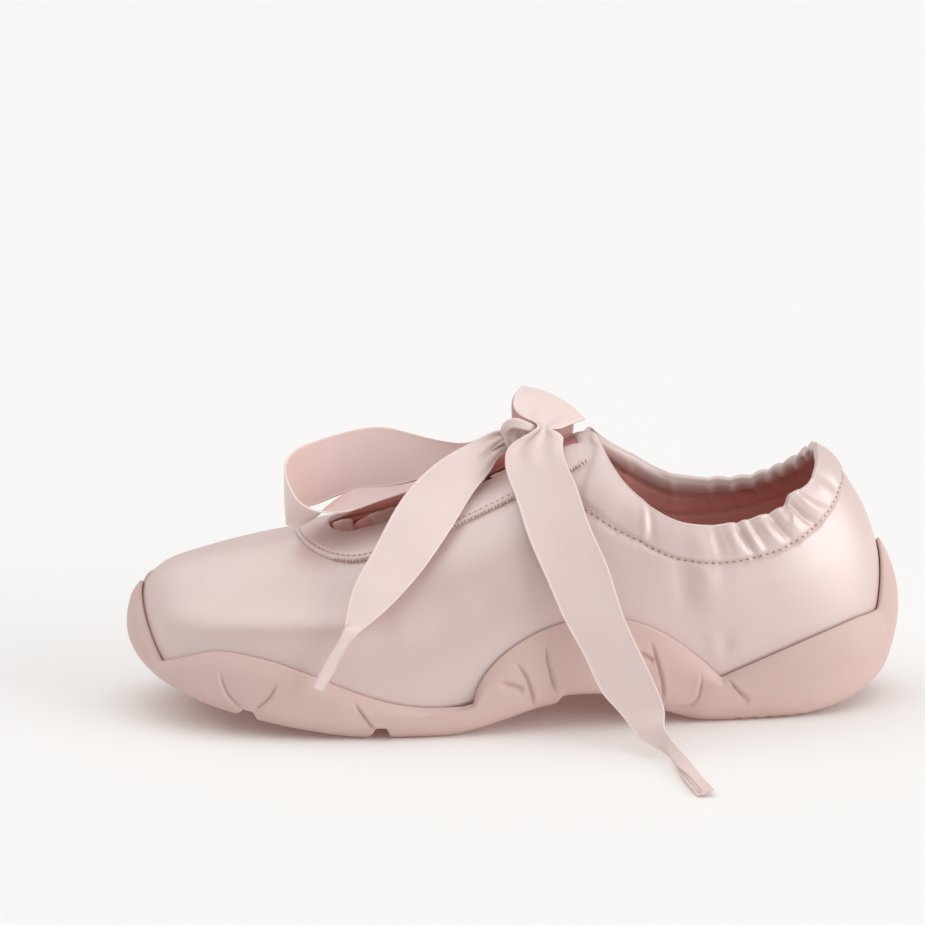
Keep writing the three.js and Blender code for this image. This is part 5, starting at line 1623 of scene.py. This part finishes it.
def bottom_height(x):
    """Underside of the sole along the shoe."""
    rows = BOTTOM
    x = np.clip(np.asarray(x, float), rows[0, 0], rows[-1, 0])
    number = np.arange(len(rows))
    before, after = np.maximum(number - 1, 0), np.minimum(number + 1, len(rows) - 1)
    slope = (rows[after, 1] - rows[before, 1]) / (rows[after, 0] - rows[before, 0])
    slope = np.where(rows[:, 1] == 0, 0, slope)
    i = np.clip(np.searchsorted(rows[:, 0], x, side="right") - 1, 0, len(rows) - 2)
    h = rows[i + 1, 0] - rows[i, 0]
    f = (x - rows[i, 0]) / h
    g = 1 - f
    ends = rows[i, 1] * (1 + 2 * f) * g * g + rows[i + 1, 1] * f * f * (3 - 2 * f)
    return np.maximum(0, ends + h * (slope[i] * f * g * g - slope[i + 1] * f * f * g))


def edge_height(u):
    """Height of the wave edge round the shoe."""
    x, far, side = foot_at(u)[..., 0], from_heel(u), side_of(u)
    ends = np.linspace(0, LAST, 1301)
    length = run_along(foot_at(ends)[:, :2])
    run = np.interp(far, ends, length)
    heel = HEEL_BACK["crest"] - HEEL_BACK["rate"] * run ** HEEL_BACK["power"]
    toe = TOE_EDGE["crest"] - TOE_EDGE["rate"] * (length[-1] - run) ** TOE_EDGE["power"]
    share = np.maximum(0, (x - HEEL_SIDE["from"]) / (HEEL_SIDE["to"] - HEEL_SIDE["from"]))
    fall = HEEL_SIDE["high"] - HEEL_SIDE["low"]
    heights = [
        np.full_like(x, WAVE_BASE),
        np.where(far < HEEL_SECTIONS, heel, 0),
        np.where(far > LAST - TOE_SECTIONS, toe, 0),
        HEEL_SIDE["high"] - fall * share ** HEEL_SIDE["power"],
    ]
    for sign in (1, -1):
        crest, at, front, back_rate = MID_WAVE[sign]
        part = np.sqrt(np.clip(1 - ((x - at) / front) ** 2, 0, 1))
        ahead = WAVE_BASE + (crest - WAVE_BASE) * part - WAVE_FALL * np.maximum(0, x - at - front)
        mid = np.where(x > at, ahead, crest - back_rate * (x - at) ** 2)
        crest, at, back, drop, toe_run, power = FORE_WAVE[sign]
        ahead = crest - drop * (np.maximum(0, x - at) / toe_run) ** power
        swing = 1 + np.cos(np.pi * np.clip((at - x) / back, 0, 1))
        fore = np.where(x > at, ahead, WAVE_BASE + (crest - WAVE_BASE) * swing / 2)
        blend = np.logaddexp(mid / WAVE_BLEND, fore / WAVE_BLEND) * WAVE_BLEND
        both = np.where(np.abs(x - BLEND_X) < BLEND_HALF, blend, np.maximum(mid, fore))
        heights.append(np.where(side == sign, both, 0))
    return np.max(heights, axis=0)


def sole_columns():
    """Places round the shoe, close together where lines cross the wall."""
    u = np.linspace(0, LOOP, 10401)
    middle = (u[1:] + u[:-1]) / 2
    steps = np.linalg.norm(np.diff(foot_at(u), axis=0), axis=1)
    x, side = foot_at(middle)[:, 0], side_of(middle)
    gap = np.full(len(x), WIDE_STEP)
    for sign, ranges in CLOSE_COLUMNS.items():
        for low, high in ranges:
            near = smooth(x, low - STEP_EASE, low) * (1 - smooth(x, high, high + STEP_EASE))
            close = CLOSE_STEP + INNER_STEP_MORE * (sign < 0)
            gap = np.minimum(gap, WIDE_STEP + (close - WIDE_STEP) * (near * (side == sign)))
    count = np.concatenate([[0], np.cumsum(steps / gap)])
    return np.interp(np.arange(int(count[-1])) * count[-1] / int(count[-1]), count, u)


def level_at(u, z):
    low, high = np.zeros_like(u), np.ones_like(u)
    for _ in range(34):
        middle = (low + high) / 2
        below = surface(u, middle)[..., 2] < z
        low, high = np.where(below, middle, low), np.where(below, high, middle)
    return (low + high) / 2


def spine_at(u):
    """Middle line of the bed under section u."""
    ends = np.linspace(0, LAST, 1301)
    far = np.interp((-SPINE_END, SPINE_END), foot_at(ends)[:, 0], ends)
    at = np.clip(from_heel(u), *far)
    return (foot_at(at) + foot_at(LOOP - at)) / 2


class SNEAKER_OT_sole(bpy.types.Operator):
    """Moulded rubber sole: wave edge, pressed side lines, flex notches and tread"""
    bl_idname = "sneaker.sole"
    bl_label = "Sole"

    def execute(self, context):
        sizes = context.scene.sneaker_sizes
        u = sole_columns()
        rows, walls, bottoms = self.profile(u)
        grid = self.ease_wall(u, np.stack(rows, 1), walls)
        grid = self.press_lines(u, grid, walls, sizes.groove_depth * 1000)
        grid = self.cut_notches(grid, walls, bottoms)
        grid = self.cut_tread(grid, bottoms, sizes.tread_depth * 1000)
        piece = new_piece("sole_rubber", grid, ring_faces(grid),
                          [material_of("pink_rubber")])
        weld(piece, 1e-5)
        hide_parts("sole")
        return {"FINISHED"}

    def profile(self, u):
        """Rows from the bed's middle over the lip, down the wall and under to the middle."""
        foot, out = foot_at(u), outward_at(u)
        heel, toe = np.maximum(0, -out[:, 0]) ** 2, np.maximum(0, out[:, 0]) ** 2
        swell = SIDE_SWELL + (HEEL_SWELL - SIDE_SWELL) * heel + (TOE_SWELL - SIDE_SWELL) * toe
        round_ = SIDE_ROUND + (HEEL_ROUND - SIDE_ROUND) * heel + (TOE_ROUND - SIDE_ROUND) * toe
        edge = level_at(u, edge_height(u))
        tall = np.linalg.norm(surface(u, edge) - foot, axis=1)
        spine = spine_at(u)
        bed = spine - UP * PLATE_GAP
        corner = offset(u, 0 * u, np.full_like(u, GAP))
        corner[:, 2] = foot[:, 2] - PLATE_GAP
        rows = [bed + (corner - bed) * k for k in BED_ROWS]
        rows += [offset(u, edge * k, np.full_like(u, GAP)) for k in INSIDE_ROWS]
        for k in LIP_ROWS:
            up = LIP_CROWN * math.sin(math.pi * k) ** LIP_ROUND
            rows.append(offset(u, edge * (1 + up / tall), np.full_like(u, GAP + LIP * k)))
        first_wall = len(rows)

        def thick(k):
            return LIP + (swell - LIP) * np.sin(np.pi / 2 * np.minimum(1, (1 - k) * WALL_GROWTH))

        def floor_rows(start, end, shares):
            made = [start + (end - start) * k for k in shares]
            for point in made:
                point[:, 2] = bottom_height(point[:, 0])
            return made

        wall = [offset(u, edge * k, GAP + thick(k)) for k in WALL_ROWS]
        rows += wall
        middle = foot + out * (swell + GAP - round_)[:, None]
        low = bottom_height(middle[:, 0])
        room = np.maximum(TURN_LEAST, foot[:, 2] - TURN_CLEAR - low)
        rise = np.minimum(round_ * TURN_TALL, room)
        curve = []
        for k in TURN_ROWS:
            turn = np.pi / 2 * k
            point = middle + out * (round_ * np.cos(turn))[:, None]
            point[:, 2] = low + rise * (1 - np.sin(turn))
            curve.append(point)
        rows += [wall[-1] + (curve[0] - wall[-1]) * k for k in BETWEEN_ROWS]
        rows += curve
        last_wall = len(rows)
        under = foot + out * (swell + GAP - round_ - UNDER_RIM)[:, None]
        rows += floor_rows(curve[-1], under, (*BETWEEN_ROWS, 1))
        rows += floor_rows(under, spine, UNDER_ROWS)
        return rows, (first_wall, last_wall), (last_wall, len(rows))

    def ease_wall(self, u, grid, walls):
        """Rounds the turn from the wall to the underside, most at the toe."""
        a, b = walls[0] + EASE_SKIP, walls[1] - 1
        part = grid[:, a:b]
        toe = smooth(outward_at(u)[:, 0], *EASE_TOE)
        for passes, share in ((EASE_PASSES, np.ones_like(toe)), (EASE_TOE_PASSES, toe)):
            for _ in range(passes):
                part[:, 1:-1] += 0.5 * share[:, None, None] * (
                    (part[:, 2:] + part[:, :-2]) / 2 - part[:, 1:-1])
        grid[:, a:b] = part
        return grid

    def press_lines(self, u, grid, walls, deep):
        """Presses the tables' lines into the side wall."""
        a, b = walls
        wall = grid[:, a:b]
        out = -grid_normals(np.concatenate([wall[-1:], wall, wall[:1]], 0))[1:-1]
        facing = (out * outward_at(u)[:, None]).sum(-1).mean()
        out = out * np.sign(facing)
        push = np.zeros(wall.shape[:2])
        side = np.broadcast_to(side_of(u)[:, None], push.shape)
        for table, sign in ((OUTER_GROOVES, 1), (INNER_GROOVES, -1)):
            for line, low_side, soft in table:
                push += np.where(side == sign, self.line_height(wall, line, low_side, soft), 0)
        grid[:, a:b] = wall + out * (deep * push)[..., None]
        return grid

    def line_height(self, wall, line, low_side, soft):
        """Height of one line over the wall: a cut, a step on its low side and a slight ridge."""
        fine = cubic(line, np.linspace(0, 1, LINE_POINTS))
        flat = wall[..., [0, 2]].reshape(-1, 2)
        away, place = to_line(flat, fine)
        near = np.clip((place * (len(fine) - 1)).astype(int), 0, len(fine) - 2)
        step = fine[near + 1] - fine[near]
        level = smooth(np.abs(step[:, 0]) / np.linalg.norm(step, axis=1), *LINE_LEVEL_AT)
        aside = flat - fine[near]
        turn = np.sign(step[:, 0] * aside[:, 1] - step[:, 1] * aside[:, 0])
        signed = away * turn * low_side
        ends = smooth(place, *LINE_START) * (1 - smooth(place, *LINE_END))
        past = (place < 1e-6) | (place > 1 - 1e-6)
        ends = np.where(past, ends * np.exp(-(away / LINE_PAST) ** 2), ends)
        cut = -LINE_CUT * np.exp(-(signed / (LINE_HALF + LINE_LEVEL * level)) ** 2)
        fall = -LINE_STEP * np.exp(-(signed / np.where(signed > 0, soft, LINE_SHARP)) ** 2)
        ridge = LINE_RIDGE * np.exp(-(signed + LINE_RIDGE_AT) ** 2)
        return ((cut + fall + ridge) * ends).reshape(wall.shape[:2])

    def cut_notches(self, grid, walls, bottoms):
        """Flex notches and heel grooves across the sole."""
        low = slice(walls[0], bottoms[1])
        part = grid[:, low]
        x, y, z = part[..., 0], part[..., 1], part[..., 2]
        cuts = list(NOTCHES) + [(at, at, half, high) for at, half, high in HEEL_GROOVES]
        for x0, x1, half, high in cuts:
            line = x0 + (x1 - x0) * (NOTCH_SPAN - y) / (2 * NOTCH_SPAN)
            away = np.abs(x - line)
            ceiling = bottom_height(x) + high * (1 - smooth(away, NOTCH_FLAT * half, half))
            z = np.where((away < half) & (z < ceiling), ceiling, z)
        part[..., 2] = z
        grid[:, low] = part
        return grid

    def cut_tread(self, grid, bottoms, deep):
        """Fine wave grooves under the forefoot and the heel."""
        a, b = bottoms
        part = grid[:, a:b]
        x, y = part[..., 0], part[..., 1]
        inset = np.linspace(0, 1, b - a)[None, :]
        wave = (x + TREAD_SWING * np.sin(2 * np.pi * y / TREAD_LONG)) / TREAD_PITCH
        line = np.abs(wave - np.round(wave)) * TREAD_PITCH
        groove = 1 - smooth(line, *TREAD_EDGE)
        fore = smooth(x, *TREAD_FORE) * (1 - smooth(x, *TREAD_TOE))
        heel = TREAD_HEEL_SHARE * (1 - smooth(x, *TREAD_HEEL))
        zone = np.maximum(fore, heel) * smooth(inset, *TREAD_RIM)
        part[..., 2] += deep * groove * zone
        grid[:, a:b] = part
        return grid


# Footbed: steps per section, gap to the wall and below, hollow, share of the flat, edge round
BED_STEPS, BED_GAP, BED_BELOW, BED_HOLLOW, BED_FLAT, BED_ROUND = 12, 0.6, 0.1, 0.9, 0.94, 1.2


class SNEAKER_OT_footbed(bpy.types.Operator):
    """Padded footbed inside the shoe"""
    bl_idname = "sneaker.footbed"
    bl_label = "Footbed"

    def execute(self, context):
        u = np.arange(LOOP * BED_STEPS) / BED_STEPS
        foot, out, spine = foot_at(u), outward_at(u), spine_at(u)
        rim = foot - out * (WALL + BED_GAP)
        rows = []
        for k in np.linspace(0, BED_FLAT, 14):
            point = spine + (rim - spine) * k
            level = (spine + (foot - spine) * k)[:, 2]
            point[:, 2] = level + INSOLE_THICK - BED_HOLLOW * (1 - k**4)
            rows.append(point)
        for k in np.linspace(0, 1, 6):
            turn = np.pi / 2 * k
            point = rim - out * (BED_ROUND * (1 - math.sin(turn)))
            point[:, 2] = foot[:, 2] + INSOLE_THICK - BED_ROUND * (1 - math.cos(turn))
            rows.append(point)
        low = rim.copy()
        low[:, 2] = foot[:, 2] + BED_BELOW
        rows += [low, spine + UP * BED_BELOW]
        grid = np.stack(rows, 1)
        piece = new_piece("footbed", grid, ring_faces(grid), [material_of("rose_lining")])
        weld(piece, 1e-5)
        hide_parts("insole")
        return {"FINISHED"}


class SNEAKER_PT_panel(bpy.types.Panel):
    """Pieces and settings of the shoe"""
    bl_idname = "SNEAKER_PT_panel"
    bl_label = "Ballet sneaker"
    bl_space_type = "VIEW_3D"
    bl_region_type = "UI"
    bl_category = "Sneaker"

    def draw(self, context):
        scene = context.scene
        for group in (scene.sneaker_sizes, scene.sneaker_colours, scene.sneaker_stage):
            box = self.layout.box()
            for key in group.__annotations__:
                box.prop(group, key)
        for made in OPERATORS:
            self.layout.operator(made.bl_idname)


OPERATORS = (
    SNEAKER_OT_stage, SNEAKER_OT_bow, SNEAKER_OT_upper, SNEAKER_OT_stitches, SNEAKER_OT_eyestay,
    SNEAKER_OT_tongue, SNEAKER_OT_lace, SNEAKER_OT_sole, SNEAKER_OT_footbed,
)
CLASSES = (SneakerSizes, SneakerColours, SneakerStage, *OPERATORS, SNEAKER_PT_panel)


def register():
    for made in CLASSES:
        bpy.utils.register_class(made)
    bpy.types.Scene.sneaker_sizes = bpy.props.PointerProperty(type=SneakerSizes)
    bpy.types.Scene.sneaker_colours = bpy.props.PointerProperty(type=SneakerColours)
    bpy.types.Scene.sneaker_stage = bpy.props.PointerProperty(type=SneakerStage)


def unregister():
    del bpy.types.Scene.sneaker_stage
    del bpy.types.Scene.sneaker_colours
    del bpy.types.Scene.sneaker_sizes
    for made in reversed(CLASSES):
        bpy.utils.unregister_class(made)


def main():
    register()
    bpy.ops.sneaker.stage()
    bpy.ops.sneaker.bow()
    bpy.ops.sneaker.upper()
    bpy.ops.sneaker.stitches()
    bpy.ops.sneaker.eyestay()
    bpy.ops.sneaker.tongue()
    bpy.ops.sneaker.lace()
    bpy.ops.sneaker.sole()
    bpy.ops.sneaker.footbed()


if __name__ == "__main__":
    main()
